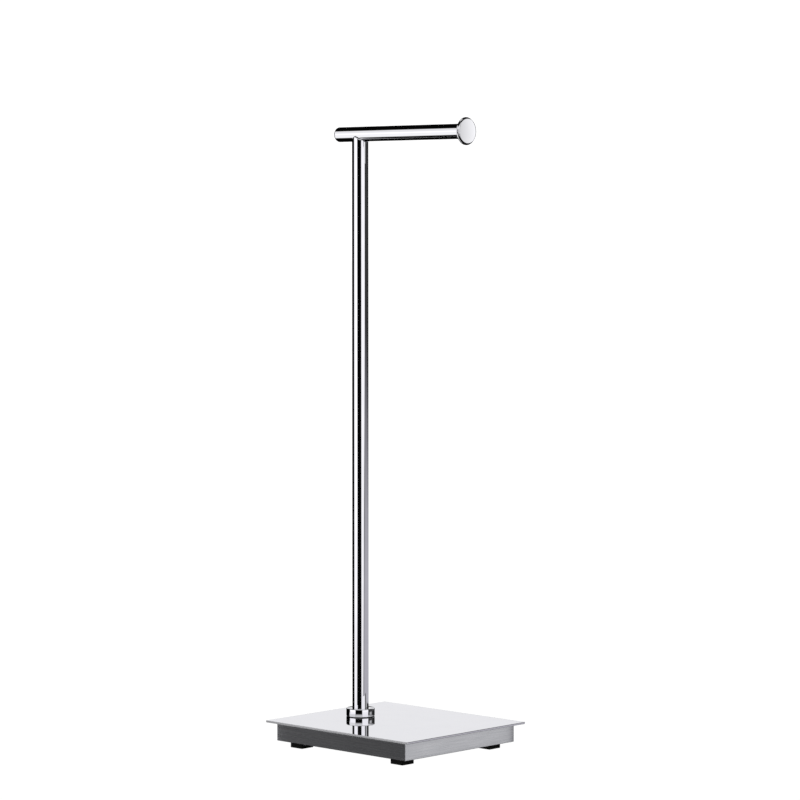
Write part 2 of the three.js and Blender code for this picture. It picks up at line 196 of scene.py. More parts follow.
@dataclass(frozen=True)
class Finish:
    """What every finish shares: two colours, a range of roughness and a relief.

    Three patterns from 0 to 1 vary them over the surface. The ends of a pattern are the values
    of its noise that give the colour and the shade, or the smoothest and the roughest place.
    """

    name: str = "finish"
    colour: str = "#808080"
    shade: str = "#707070"
    tint_ends: tuple[float, float] = (0.0, 1.0)
    smooth: float = 0.2
    rough: float = 0.3
    rough_ends: tuple[float, float] = (0.3, 0.7)
    depth: float = 0.01

    def start(self) -> tuple[bpy.types.Material, bpy.types.NodeTree, bpy.types.NodeSocket]:
        """Makes an empty material.

        Returns:
            The material, its tree and the object coordinates.
        """
        material, tree = blank_material(self.name)
        material.diffuse_color = linear(self.colour)
        place = add(tree, "ShaderNodeTexCoord", output="Object")
        return material, tree, place

    def stretched(
        self,
        tree: bpy.types.NodeTree,
        place: bpy.types.NodeSocket,
        spacing: tuple[float, float, float],
        detail: float = 3.0,
    ) -> bpy.types.NodeSocket:
        """Adds a noise whose grains have a real size in each direction.

        Args:
            tree: The material's tree.
            place: The coordinates, in metres.
            spacing: Size of a grain along X, Y and Z, in millimetres.
            detail: Octaves of the noise.

        Returns:
            The noise, from 0 to 1.
        """
        scale = tuple(1.0 / (s * MM) for s in spacing)
        scaled = add(tree, "ShaderNodeVectorMath", "MULTIPLY", (place, scale))
        inputs = {"Vector": scaled, "Scale": 1.0, "Detail": detail}
        return add(tree, "ShaderNodeTexNoise", {"noise_dimensions": "3D"}, inputs)

    def dress(
        self,
        tree: bpy.types.NodeTree,
        tint: bpy.types.NodeSocket,
        blur: bpy.types.NodeSocket,
        height: bpy.types.NodeSocket,
        shader_inputs: dict[str, Any],
    ) -> None:
        """Tints, dulls and embosses the surface by three patterns, and adds its shader.

        Args:
            tree: The material's tree.
            tint: Pattern that leads from the colour to the shade.
            blur: Pattern that leads from smooth to rough.
            height: Pattern of the relief, which is as deep as the finish's depth.
            shader_inputs: What else the shader is given.
        """
        tint_start, tint_end = self.tint_ends
        tint_range = {"Value": tint, "From Min": tint_start, "From Max": tint_end}
        share = add(tree, "ShaderNodeMapRange", {"clamp": True}, tint_range)
        mixed = {"Factor": share, MIX_A: linear(self.colour), MIX_B: linear(self.shade)}
        blur_start, blur_end = self.rough_ends
        blur_range = {"Value": blur, "From Min": blur_start, "From Max": blur_end}
        blur_range.update({"To Min": self.smooth, "To Max": self.rough})
        embossed = {"Height": height, "Distance": self.depth * MM, "Strength": 1.0}
        inputs = {
            "Base Color": add(tree, "ShaderNodeMix", {"data_type": "RGBA"}, mixed, MIX_RESULT),
            "Roughness": add(tree, "ShaderNodeMapRange", {"clamp": True}, blur_range),
            "Normal": add(tree, "ShaderNodeBump", None, embossed),
        }
        shader = add(tree, "ShaderNodeBsdfPrincipled", None, {**inputs, **shader_inputs})
        add(tree, "ShaderNodeOutputMaterial", None, {"Surface": shader})

    def build(self) -> bpy.types.Material:
        """Makes the material. Each finish has its own."""
        raise NotImplementedError


@dataclass(frozen=True)
class BrightChrome(Finish):
    """Bright chromium plate on a buffed steel tube or turned piece.

    The eye sees sharp dark and light bands. Buffing leaves a waviness some centimetres long and
    a haze of fine marks, which only a little roughness shows.
    """

    name: str = "bright_chrome_plate"
    colour: str = "#e1e1e4"
    shade: str = "#d6d6da"
    smooth: float = 0.006
    rough: float = 0.018
    rough_ends: tuple[float, float] = (0.12, 0.42)
    depth: float = 0.012
    haze: float = 14.0
    mark_length: float = 6.0
    mark_width: float = 0.5
    wave: float = 38.0

    def build(self) -> bpy.types.Material:
        """Makes the material of the post, the arm and the turned pieces on them.

        Returns:
            The material.
        """
        material, tree, place = self.start()
        haze = self.stretched(tree, place, (self.haze,) * 3, 4.0)
        marks = self.stretched(tree, place, (self.mark_width, self.mark_width, self.mark_length), 2.0)
        waves = self.stretched(tree, place, (self.wave,) * 3, 1.0)
        both = add(tree, "ShaderNodeMath", "MULTIPLY", (haze, marks))
        self.dress(tree, haze, both, waves, {"Metallic": 1.0})
        return material


@dataclass(frozen=True)
class MirrorStainless(Finish):
    """Stainless sheet polished to a mirror.

    The eye sees the post stand on its own reflection, with hairlines along the polishing
    direction that catch a little light and a faint cloudiness from handling.
    """

    name: str = "mirror_polished_stainless"
    colour: str = "#e4e4e7"
    shade: str = "#dcdce0"
    smooth: float = 0.012
    rough: float = 0.045
    rough_ends: tuple[float, float] = (0.15, 0.42)
    depth: float = 0.001
    hairline: tuple[float, float, float] = (45.0, 0.45, 4.0)
    cloud: tuple[float, float, float] = (26.0, 22.0, 26.0)
    wave: float = 70.0

    def build(self) -> bpy.types.Material:
        """Makes the material of the top plate.

        Returns:
            The material.
        """
        material, tree, place = self.start()
        lines = self.stretched(tree, place, self.hairline, 3.0)
        cloud = self.stretched(tree, place, self.cloud, 5.0)
        waves = self.stretched(tree, place, (self.wave,) * 3, 1.0)
        both = add(tree, "ShaderNodeMath", "MULTIPLY", (lines, cloud))
        self.dress(tree, cloud, both, waves, {"Metallic": 1.0})
        return material


@dataclass(frozen=True)
class BrushedStainless(Finish):
    """Stainless sheet brushed with a fine belt.

    The eye sees a soft grey with long streaks. A belt's scratches are about 0.05 mm wide and are
    drawn 0.3 mm wide here, because finer ones don't show.
    """

    name: str = "brushed_stainless"
    colour: str = "#c6c6ca"
    shade: str = "#aaabb0"
    tint_ends: tuple[float, float] = (0.7, 0.3)
    smooth: float = 0.26
    rough: float = 0.42
    rough_ends: tuple[float, float] = (0.15, 0.4)
    depth: float = 0.006
    streak_length: float = 32.0
    streak_width: float = 0.3
    band_widening: float = 4.0
    anisotropy: float = 0.45
    grain: Grain = Grain.ROUND_THE_SIDES

    def build(self) -> bpy.types.Material:
        """Makes the material of the tray or its cover.

        Returns:
            The material.
        """
        material, tree, place = self.start()
        across_y = self.streak_width if self.grain is Grain.ALONG_X else self.streak_length
        spacing = (self.streak_length, across_y, self.streak_width)
        streaks = self.stretched(tree, place, spacing, 4.0)
        bands = self.stretched(tree, place, tuple(self.band_widening * s for s in spacing), 2.0)
        both = add(tree, "ShaderNodeMath", "MULTIPLY", (streaks, bands))
        tangent = add(tree, "ShaderNodeTangent", {"direction_type": "RADIAL", "axis": "Z"})
        brushed = {"Metallic": 1.0, "Anisotropic": self.anisotropy, "Tangent": tangent}
        self.dress(tree, streaks, both, streaks, brushed)
        return material


@dataclass(frozen=True)
class MillScaleSteel(Finish):
    """Hot-rolled steel slab with its blue-grey mill scale, for the ballast.

    The eye sees a dark skin with rusty brown and grey clouds and a slightly pitted surface.
    """

    name: str = "mill_scale_steel"
    colour: str = "#3b3d41"
    shade: str = "#54483f"
    tint_ends: tuple[float, float] = (0.5, 0.72)
    smooth: float = 0.45
    rough: float = 0.7
    depth: float = 0.03
    cloud: float = 18.0
    pit: float = 0.8
    bare_metal: float = 0.75
    rusty_metal: float = 0.25
    metal_ends: tuple[float, float] = (0.45, 0.75)

    def build(self) -> bpy.types.Material:
        """Makes the material of the ballast slab.

        Returns:
            The material.
        """
        material, tree, place = self.start()
        cloud = self.stretched(tree, place, (self.cloud,) * 3, 6.0)
        pits = self.stretched(tree, place, (self.pit,) * 3, 3.0)
        start, end = self.metal_ends
        rust = {"Value": cloud, "From Min": start, "From Max": end}
        rust.update({"To Min": self.bare_metal, "To Max": self.rusty_metal})
        metal = add(tree, "ShaderNodeMapRange", {"clamp": True}, rust)
        self.dress(tree, cloud, pits, pits, {"Metallic": metal})
        return material


@dataclass(frozen=True)
class ZincPlate(Finish):
    """Bright zinc plate with a clear blue passivation, on the fasteners.

    The eye sees a light grey metal with a faint blue and straw mottle and a satin shine.
    """

    name: str = "zinc_plated_steel"
    colour: str = "#b4bac2"
    shade: str = "#c2beb2"
    tint_ends: tuple[float, float] = (0.3, 0.7)
    smooth: float = 0.22
    rough: float = 0.4
    depth: float = 0.004
    mottle: float = 3.0
    grain: float = 0.3

    def build(self) -> bpy.types.Material:
        """Makes the material of screws, washers, nuts and turned inner pieces.

        Returns:
            The material.
        """
        material, tree, place = self.start()
        mottle = self.stretched(tree, place, (self.mottle,) * 3, 4.0)
        grain = self.stretched(tree, place, (self.grain,) * 3, 2.0)
        self.dress(tree, mottle, grain, grain, {"Metallic": 1.0})
        return material


@dataclass(frozen=True)
class MouldedRubber(Finish):
    """Black rubber pad moulded in a spark-eroded tool.

    The eye sees a deep, dull black with a fine pebble, a little greyer where dust holds.
    """

    name: str = "moulded_rubber"
    colour: str = "#060606"
    shade: str = "#121110"
    tint_ends: tuple[float, float] = (0.5, 0.8)
    smooth: float = 0.62
    rough: float = 0.85
    depth: float = 0.03
    pebble: float = 0.35
    dust: float = 5.0

    def build(self) -> bpy.types.Material:
        """Makes the material of the feet.

        Returns:
            The material.
        """
        material, tree, place = self.start()
        pebble = {"Vector": place, "Scale": 1.0 / (self.pebble * MM)}
        pebbles = add(tree, "ShaderNodeTexVoronoi", None, pebble, "Distance")
        dust = self.stretched(tree, place, (self.dust,) * 3, 6.0)
        shine = {"Metallic": 0.0, "IOR": 1.52, "Specular IOR Level": 0.1}
        self.dress(tree, dust, dust, pebbles, shine)
        return material


@dataclass(frozen=True)
class NylonSheet(Finish):
    """Black nylon ring under the collar, punched from sheet.

    The eye sees a dark satin edge with faint cutting marks.
    """

    name: str = "black_nylon_sheet"
    colour: str = "#141416"
    shade: str = "#1e1e21"
    smooth: float = 0.45
    rough: float = 0.6
    depth: float = 0.005
    mark: tuple[float, float, float] = (1.2, 1.2, 0.15)

    def build(self) -> bpy.types.Material:
        """Makes the material of the seat gasket.

        Returns:
            The material.
        """
        material, tree, place = self.start()
        marks = self.stretched(tree, place, self.mark, 3.0)
        self.dress(tree, marks, marks, marks, {"Metallic": 0.0, "IOR": 1.53})
        return material


CHROME = BrightChrome()
MIRROR = MirrorStainless()
TRAY_BRUSHED = BrushedStainless()
COVER_BRUSHED = BrushedStainless(name="brushed_stainless_cover", grain=Grain.ALONG_X)
MILL_SCALE = MillScaleSteel()
ZINC = ZincPlate()
RUBBER = MouldedRubber()
NYLON = NylonSheet()


@functools.cache
def material_of(finish: Finish) -> bpy.types.Material:
    """Makes a finish's material once and keeps it."""
    return finish.build()


# --------------------------------------------------------------------------------------------
# Frame and pieces
# --------------------------------------------------------------------------------------------


@dataclass(frozen=True)
class Extent:
    """The box of a CAD node at rest, in metres."""

    low: Vector
    high: Vector

    @classmethod
    def of(cls, node: str) -> Extent:
        """Reads the box of a node from the frame."""
        return cls(*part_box(node))

    @property
    def centre(self) -> Vector:
        """The middle of the box."""
        return (self.low + self.high) / 2

    @property
    def size(self) -> Vector:
        """The sides of the box."""
        return self.high - self.low

    @property
    def plan(self) -> tuple[float, float]:
        """Its length and its width, in millimetres."""
        return (self.size.x / MM, self.size.y / MM)

    @property
    def levels(self) -> tuple[float, float]:
        """Heights of its underside and its top, in millimetres."""
        return (self.low.z / MM, self.high.z / MM)

    @property
    def radius(self) -> float:
        """Half its width, in millimetres: the outer radius of a round piece."""
        return self.size.y / MM / 2

    @property
    def upright(self) -> Matrix:
        """The matrix that takes a piece from the Z axis to the middle of the box along X."""
        return Matrix.Translation((self.centre.x, 0.0, 0.0))


def new_object(name: str, mesh: bpy.types.Mesh) -> bpy.types.Object:
    """Puts a mesh into the scene.

    Args:
        name: The object's name.
        mesh: Its mesh.

    Returns:
        The object, at the origin.
    """
    made = bpy.data.objects.new(name, mesh)
    bpy.context.scene.collection.objects.link(made)
    return made


def settle(made: bpy.types.Object, sharp_angle: float = SMOOTH_ANGLE) -> bpy.types.Object:
    """Merges doubles, points faces outwards and shades smooth up to an angle.

    Args:
        made: The object, whose mesh is closed.
        sharp_angle: Edges sharper than this stay sharp.

    Returns:
        The same object.
    """
    shell = bmesh.new()
    shell.from_mesh(made.data)
    bmesh.ops.remove_doubles(shell, verts=shell.verts, dist=MERGE_DISTANCE)
    bmesh.ops.recalc_face_normals(shell, faces=shell.faces)
    shell.to_mesh(made.data)
    shell.free()
    made.data.set_sharp_from_angle(angle=sharp_angle)
    return made


def publish(
    made: bpy.types.Object, body: Body, slot: Slot, finish: Finish, nodes: Iterable[str]
) -> None:
    """Dresses a piece and hands it to the frame.

    Args:
        made: The finished piece.
        body: The body that it rides on.
        slot: Its slot in the record. It is not used.
        finish: Its finish.
        nodes: The CAD nodes that it stands for.
    """
    made.data.materials.clear()
    made.data.materials.append(material_of(finish))
    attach(made, body.value)
    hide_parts(*nodes)
    LOG.info("%s: %d faces, on %s", made.name, len(made.data.polygons), body.value)


def evaluated_mesh(made: bpy.types.Object) -> bpy.types.Mesh:
    """Turns an object with live modifiers to a plain mesh."""
    graph = bpy.context.evaluated_depsgraph_get()
    return bpy.data.meshes.new_from_object(made.evaluated_get(graph))


def discard(*objects: bpy.types.Object) -> None:
    """Removes helper objects from the file."""
    for made in objects:
        bpy.data.objects.remove(made)


def boolean(made: bpy.types.Object, tool: bpy.types.Object, operation: str) -> bpy.types.Object:
    """Cuts or joins two solids and removes the tool.

    Args:
        made: The piece.
        tool: The cutter.
        operation: "DIFFERENCE", "INTERSECT" or "UNION".

    Returns:
        The piece with its new mesh.
    """
    modifier = made.modifiers.new("boolean", "BOOLEAN")
    modifier.operation = operation
    modifier.solver = "EXACT"
    modifier.object = tool
    mesh = evaluated_mesh(made)
    made.modifiers.clear()
    made.data = mesh
    discard(tool)
    return made


def joined(name: str, parts: Sequence[bpy.types.Object]) -> bpy.types.Object:
    """Gathers several objects into one piece.

    Args:
        name: The piece's name.
        parts: Objects whose meshes are gathered. They are removed.

    Returns:
        The new piece.
    """
    shell = bmesh.new()
    for part in parts:
        shell.from_mesh(part.data)
    mesh = bpy.data.meshes.new(name)
    shell.to_mesh(mesh)
    shell.free()
    discard(*parts)
    return new_object(name, mesh)


# --------------------------------------------------------------------------------------------
# Geometry Nodes
# --------------------------------------------------------------------------------------------


@dataclass
class GeometryTree:
    """A Geometry Nodes tree with named inputs, built once and run for each piece."""

    title: str = "tree"
    inputs: dict[str, str] = field(default_factory=dict)
    tree: bpy.types.NodeTree = field(init=False)
    start: bpy.types.Node = field(init=False)

    def __post_init__(self) -> None:
        """Makes the tree with its group input, its sockets and its nodes."""
        self.tree = bpy.data.node_groups.new(self.title, "GeometryNodeTree")
        face = self.tree.interface
        face.new_socket("Geometry", in_out="INPUT", socket_type="NodeSocketGeometry")
        for name, kind in {**self.inputs, "Material": "NodeSocketMaterial"}.items():
            face.new_socket(name, in_out="INPUT", socket_type=kind)
        face.new_socket("Geometry", in_out="OUTPUT", socket_type="NodeSocketGeometry")
        self.start = self.tree.nodes.new("NodeGroupInput")
        result = self.build(self.start.outputs["Geometry"])
        real = self.add("GeometryNodeRealizeInstances", None, {"Geometry": result})
        dressed = {"Geometry": real, "Material": self.start.outputs["Material"]}
        painted = self.add("GeometryNodeSetMaterial", None, dressed)
        add(self.tree, "NodeGroupOutput", None, {"Geometry": painted})

    def add(
        self,
        kind: str,
        settings: dict[str, Any] | str | None = None,
        inputs: dict[str | int, Any] | Sequence[Any] = (),
        output: str | int = 0,
    ) -> bpy.types.NodeSocket:
        """Adds a node to this tree, as the module's add does."""
        return add(self.tree, kind, settings, inputs, output)

    def build(self, points: bpy.types.NodeSocket) -> bpy.types.NodeSocket:
        """Makes the nodes between the input geometry and the result. Each tree has its own."""
        raise NotImplementedError

    def run(
        self, name: str, points: Sequence[Sequence[float]], finish: Finish, **values: Any
    ) -> bpy.types.Object:
        """Runs the tree on a list of points and keeps the result as a plain mesh.

        Args:
            name: Name of the new object.
            points: Points that the tree starts from, in metres.
            finish: The finish to set.
            **values: Values of the tree's named inputs.

        Returns:
            An object with the resulting mesh and no modifier.
        """
        source = bpy.data.meshes.new(name)
        source.from_pydata([tuple(p) for p in points], [], [])
        made = new_object(name, source)
        modifier = made.modifiers.new(self.title, "NODES")
        modifier.node_group = self.tree
        wanted = {**values, "Material": material_of(finish)}
        for item in self.tree.interface.items_tree:
            if item.in_out == "INPUT" and item.name in wanted:
                modifier[item.identifier] = wanted[item.name]
        mesh = evaluated_mesh(made)
        made.modifiers.clear()
        made.data = mesh
        bpy.data.meshes.remove(source)
        return made


@dataclass
class TurnedTree(GeometryTree):
    """Turns a profile about the Z axis. The profile's points hold radius in X and height in Z."""

    title: str = "turned_piece"
    inputs: dict[str, str] = field(default_factory=lambda: {"Sides": "NodeSocketInt"})

    def build(self, points: bpy.types.NodeSocket) -> bpy.types.NodeSocket:
        """Lays a grid over profile and angle, and wraps it round the axis.

        Args:
            points: The profile.

        Returns:
            The turned shell, closed at its seam and poles.
        """
        sides = self.start.outputs["Sides"]
        count = self.add("GeometryNodeAttributeDomainSize", None, {"Geometry": points}, "Point Count")
        columns = self.add("ShaderNodeMath", "ADD", (sides, 1.0))
        grid = self.add("GeometryNodeMeshGrid", None, {"Vertices X": count, "Vertices Y": columns})
        index = self.add("GeometryNodeInputIndex")
        middle = self.add("ShaderNodeMath", "ADD", (index, 0.5))
        row = self.add("ShaderNodeMath", "DIVIDE", (middle, columns))
        row = self.add("ShaderNodeMath", "FLOOR", (row,))
        before = self.add("ShaderNodeMath", "MULTIPLY", (row, columns))
        column = self.add("ShaderNodeMath", "SUBTRACT", (index, before))
        share = self.add("ShaderNodeMath", "DIVIDE", (column, sides))
        turn = self.add("ShaderNodeMath", "MULTIPLY", (share, math.tau))
        sampled = self.add(
            "GeometryNodeSampleIndex",
            {"data_type": "FLOAT_VECTOR", "domain": "POINT"},
            {"Geometry": points, "Value": self.add("GeometryNodeInputPosition"), "Index": row},
        )
        about_axis = {"rotation_type": "Z_AXIS"}
        turned = self.add("ShaderNodeVectorRotate", about_axis, {"Vector": sampled, "Angle": turn})
        wrapped = self.add("GeometryNodeSetPosition", None, {"Geometry": grid, "Position": turned})
        merged = {"Geometry": wrapped, "Distance": MERGE_DISTANCE}
        return self.add("GeometryNodeMergeByDistance", None, merged)


@dataclass
class ThreadTree(GeometryTree):
    """Puts a threaded shank at each point, pointing up from it.

    The shank's wall is a grid whose radius follows the thread's helix. Its first and last rows
    close on the axis.
    """

    title: str = "threaded_shanks"
    inputs: dict[str, str] = field(
        default_factory=lambda: {
            "Radius": "NodeSocketFloat",
            "Length": "NodeSocketFloat",
            "Pitch": "NodeSocketFloat",
            "Depth": "NodeSocketFloat",
        }
    )
    sides: int = 28
    rows_per_turn: int = 8

    def build(self, points: bpy.types.NodeSocket) -> bpy.types.NodeSocket:
        """Shapes one threaded shank and repeats it on the points.

        Args:
            points: The lower ends of the shanks.

        Returns:
            Instances of the shank.
        """
        radius, length, pitch, depth = (self.start.outputs[name] for name in self.inputs)
        turns = self.add("ShaderNodeMath", "DIVIDE", (length, pitch))
        rows = self.add("ShaderNodeMath", "MULTIPLY", (turns, float(self.rows_per_turn)))
        rows = self.add("ShaderNodeMath", "CEIL", (rows,))
        columns = float(self.sides + 1)
        grid = self.add("GeometryNodeMeshGrid", None, {"Vertices X": rows, "Vertices Y": self.sides + 1})
        index = self.add("GeometryNodeInputIndex")
        middle = self.add("ShaderNodeMath", "ADD", (index, 0.5))
        row = self.add("ShaderNodeMath", "DIVIDE", (middle, columns))
        row = self.add("ShaderNodeMath", "FLOOR", (row,))
        before = self.add("ShaderNodeMath", "MULTIPLY", (row, columns))
        column = self.add("ShaderNodeMath", "SUBTRACT", (index, before))
        last = self.add("ShaderNodeMath", "SUBTRACT", (rows, 1.0))
        turned = self.add("ShaderNodeMath", "DIVIDE", (column, float(self.sides)))
        angle = self.add("ShaderNodeMath", "MULTIPLY", (turned, math.tau))
        climbed = self.add("ShaderNodeMath", "DIVIDE", (row, last))
        height = self.add("ShaderNodeMath", "MULTIPLY", (climbed, length))
        height_turns = self.add("ShaderNodeMath", "DIVIDE", (height, pitch))
        angle_turns = self.add("ShaderNodeMath", "DIVIDE", (angle, math.tau))
        phase = self.add("ShaderNodeMath", "SUBTRACT", (height_turns, angle_turns))
        ridge = self.add("ShaderNodeMath", "PINGPONG", (phase, 0.5))
        groove = self.add("ShaderNodeMath", "MULTIPLY", (ridge, 2.0))
        lowered = self.add("ShaderNodeMath", "MULTIPLY", (groove, depth))
        to_end = self.add("ShaderNodeMath", "SUBTRACT", (length, height))
        chamfer = self.add("ShaderNodeMath", "SUBTRACT", (depth, to_end))
        lead_in = self.add("ShaderNodeMath", "MAXIMUM", (chamfer, 0.0))
        cut = self.add("ShaderNodeMath", "MAXIMUM", (lowered, lead_in))
        crest = self.add("ShaderNodeMath", "SUBTRACT", (radius, cut))
        after_first = self.add("ShaderNodeMath", "GREATER_THAN", (row, 0.5))
        before_last = self.add("ShaderNodeMath", "SUBTRACT", (last, 0.5))
        before_last = self.add("ShaderNodeMath", "LESS_THAN", (row, before_last))
        closed_below = self.add("ShaderNodeMath", "MULTIPLY", (after_first, crest))
        wall = self.add("ShaderNodeMath", "MULTIPLY", (before_last, closed_below))
        cosine = self.add("ShaderNodeMath", "COSINE", (angle,))
        sine = self.add("ShaderNodeMath", "SINE", (angle,))
        across = self.add("ShaderNodeMath", "MULTIPLY", (wall, cosine))
        along = self.add("ShaderNodeMath", "MULTIPLY", (wall, sine))
        place = self.add("ShaderNodeCombineXYZ", None, {"X": across, "Y": along, "Z": height})
        wrapped = self.add("GeometryNodeSetPosition", None, {"Geometry": grid, "Position": place})
        merged = {"Geometry": wrapped, "Distance": MERGE_DISTANCE}
        shank = self.add("GeometryNodeMergeByDistance", None, merged)
        return self.add("GeometryNodeInstanceOnPoints", None, {"Points": points, "Instance": shank})


@dataclass
class RepeatTree(GeometryTree):
    """Puts a copy of a piece at each point."""

    title: str = "repeated_pieces"
    inputs: dict[str, str] = field(default_factory=lambda: {"Piece": "NodeSocketObject"})

    def build(self, points: bpy.types.NodeSocket) -> bpy.types.NodeSocket:
        """Instances the piece on the points.

        Args:
            points: Where the copies go.

        Returns:
            The instances.
        """
        wanted = {"Object": self.start.outputs["Piece"]}
        piece = self.add("GeometryNodeObjectInfo", None, wanted, "Geometry")
        return self.add("GeometryNodeInstanceOnPoints", None, {"Points": points, "Instance": piece})


# --------------------------------------------------------------------------------------------
# Mesh building
# --------------------------------------------------------------------------------------------

Loop = list[bmesh.types.BMVert]
Pair = tuple[float, float]
Profile = Sequence[Pair]


def arc(centre: Pair, radius: float, start: float, end: float, steps: int) -> list[Pair]:
    """Lists points on an arc.

    Args:
        centre: The arc's centre.
        radius: Its radius.
        start: First angle in degrees.
        end: Last angle in degrees.
        steps: Number of chords.

    Returns:
        steps + 1 points.
    """
    angles = np.radians(np.linspace(start, end, steps + 1))
    return [(centre[0] + radius * math.cos(a), centre[1] + radius * math.sin(a)) for a in angles]


def rounded_below(radius: float, low: float, steps: int) -> list[Pair]:
    """Lists inset and height round a lower edge, from the underside to the side.

    Args:
        radius: The edge's radius.
        low: Height of the underside.
        steps: Number of chords.

    Returns:
        steps + 1 pairs of inset and height.
    """
    angles = np.linspace(0, math.pi / 2, steps + 1)
    return [(radius * (1 - math.sin(a)), low + radius * (1 - math.cos(a))) for a in angles]


def rounded_above(radius: float, high: float, steps: int, inset: float = 0.0) -> list[Pair]:
    """Lists inset and height round an upper edge, from the side to the top.

    Args:
        radius: The edge's radius.
        high: Height of the top.
        steps: Number of chords.
        inset: Inset of the side.

    Returns:
        steps + 1 pairs of inset and height.
    """
    angles = np.linspace(0, math.pi / 2, steps + 1)
    return [(inset + radius * (1 - math.cos(a)), high - radius * (1 - math.sin(a))) for a in angles]


@dataclass
class Shell:
    """A closed mesh in the making, from loops of vertices. Points are in millimetres."""

    mesh: bmesh.types.BMesh = field(default_factory=bmesh.new)

    def loop(self, points: Iterable[Sequence[float]]) -> Loop:
        """Adds a closed loop of vertices from 3-D points."""
        return [self.mesh.verts.new(Vector(p) * MM) for p in points]

    def ring(self, centre: Pair, radius: float, height: float, sides: int) -> Loop:
        """Adds a round level loop."""
        circle = arc(centre, radius, 0, 360, sides)[:-1]
        return self.loop((x, y, height) for x, y in circle)

    def panel(self, size: Pair, corner: float, inset: float, height: float, steps: int) -> Loop:
        """Adds a level loop round a rectangle with rounded corners, centred on the origin.

        Args:
            size: Length and width before the inset.
            corner: Corner radius before the inset.
            inset: How far the loop lies inside.
            height: The loop's height.
            steps: Chords in each corner.

        Returns:
            The loop.
        """
        radius = max(corner - inset, LEAST_CORNER)
        x = size[0] / 2 - inset - radius
        y = size[1] / 2 - inset - radius
        points: list[Pair] = []
        for centre, start in (((x, y), 0), ((-x, y), 90), ((-x, -y), 180), ((x, -y), 270)):
            points += arc(centre, radius, start, start + 90, steps)
        return self.loop((px, py, height) for px, py in points)

    def bridge(self, loops: Sequence[Loop]) -> None:
        """Joins each loop to the next with a band of faces.

        Args:
            loops: Loops of the same number of vertices, in order.
        """
        for first, second in zip(loops, loops[1:]):
            count = len(first)
            for i in range(count):
                j = (i + 1) % count
                face = self.mesh.faces.new((first[i], first[j], second[j], second[i]))
                face.smooth = True

    def fill(self, loops: Sequence[Loop]) -> None:
        """Fills the space between a loop and the loops inside it with flat faces.

        Args:
            loops: The loops, which lie in one plane.
        """
        edges = []
        for loop in loops:
            for i, vert in enumerate(loop):
                pair = (vert, loop[(i + 1) % len(loop)])
                edges.append(self.mesh.edges.get(pair) or self.mesh.edges.new(pair))
        bmesh.ops.triangle_fill(self.mesh, use_beauty=True, use_dissolve=False, edges=edges)

    def object(self, name: str) -> bpy.types.Object:
        """Turns the shell to an object with its faces pointing outwards.

        Args:
            name: The object's name.

        Returns:
            The object. The shell is used up.
        """
        bmesh.ops.recalc_face_normals(self.mesh, faces=self.mesh.faces)
        mesh = bpy.data.meshes.new(name)
        self.mesh.to_mesh(mesh)
        self.mesh.free()
        mesh.set_sharp_from_angle(angle=SMOOTH_ANGLE)
        return new_object(name, mesh)


def block(name: str, loops: Sequence[Sequence[Sequence[float]]]) -> bpy.types.Object:
    """Makes a solid from a lower and an upper outline.

    Args:
        name: The object's name.
        loops: The two outlines, as 3-D points in millimetres.

    Returns:
        The solid.
    """
    shell = Shell()
    ends = [shell.loop(points) for points in loops]
    shell.bridge(ends)
    shell.fill(ends[:1])
    shell.fill(ends[1:])
    return shell.object(name)


def hexagon_block(name: str, flats: float, height: float) -> bpy.types.Object:
    """Makes a hexagonal prism that stands on the origin.

    Args:
        name: The object's name.
        flats: Its size across the flats, in millimetres.
        height: Its height, in millimetres.

    Returns:
        The prism.
    """
    outline = arc((0.0, 0.0), flats / math.sqrt(3), 0, 360, 6)[:-1]
    return block(name, [[(x, y, z) for x, y in outline] for z in (0.0, height)])


@dataclass
class Workshop:
    """The three trees, made once and shared by every sub-assembly."""

    turned_tree: TurnedTree = field(default_factory=TurnedTree)
    thread_tree: ThreadTree = field(default_factory=ThreadTree)
    repeat_tree: RepeatTree = field(default_factory=RepeatTree)

    def turned(
        self,
        name: str,
        profile: Profile,
        finish: Finish,
        place: Matrix | None = None,
        sides: int = FINE_SIDES,
    ) -> bpy.types.Object:
        """Turns a profile and puts it in its place.

        Args:
            name: The object's name.
            profile: Points of radius and height in millimetres, which start and end on the axis
                or close on themselves.
            finish: The finish.
            place: Where the turned piece goes, in metres. The default is the Z axis.
            sides: Number of sides.

        Returns:
            The piece, with its place in its mesh.
        """
        points = [(r * MM, 0.0, z * MM) for r, z in profile]
        made = self.turned_tree.run(name, points, finish, Sides=sides)
        for polygon in made.data.polygons:
            polygon.use_smooth = True
        if place is not None:
            made.data.transform(place)
        return settle(made)

    def repeated(
        self, name: str, piece: bpy.types.Object, points: Sequence[Vector], finish: Finish
    ) -> bpy.types.Object:
        """Repeats a piece on points and removes the original.

        Args:
            name: Name of the new object.
            piece: The piece.
            points: Where its copies go, in metres.
            finish: The finish.

        Returns:
            One object with all the copies.
        """
        made = self.repeat_tree.run(name, points, finish, Piece=piece)
        discard(piece)
        return made

    def threaded(
        self,
        name: str,
        points: Sequence[Vector],
        finish: Finish,
        radius: float,
        length: float,
        pitch: float,
    ) -> bpy.types.Object:
        """Makes threaded shanks that stand on points.

        Args:
            name: Name of the new object.
            points: Lower ends of the shanks, in metres.
            finish: The finish.
            radius: Outer radius of the thread, in millimetres.
            length: Length of a shank, in millimetres.
            pitch: Pitch of the thread, in millimetres.

        Returns:
            One object with all the shanks.
        """
        sizes = {"Radius": radius, "Length": length, "Pitch": pitch, "Depth": THREAD_DEPTH * pitch}
        metres = {key: size * MM for key, size in sizes.items()}
        return settle(self.thread_tree.run(name, points, finish, **metres), CUT_ANGLE)


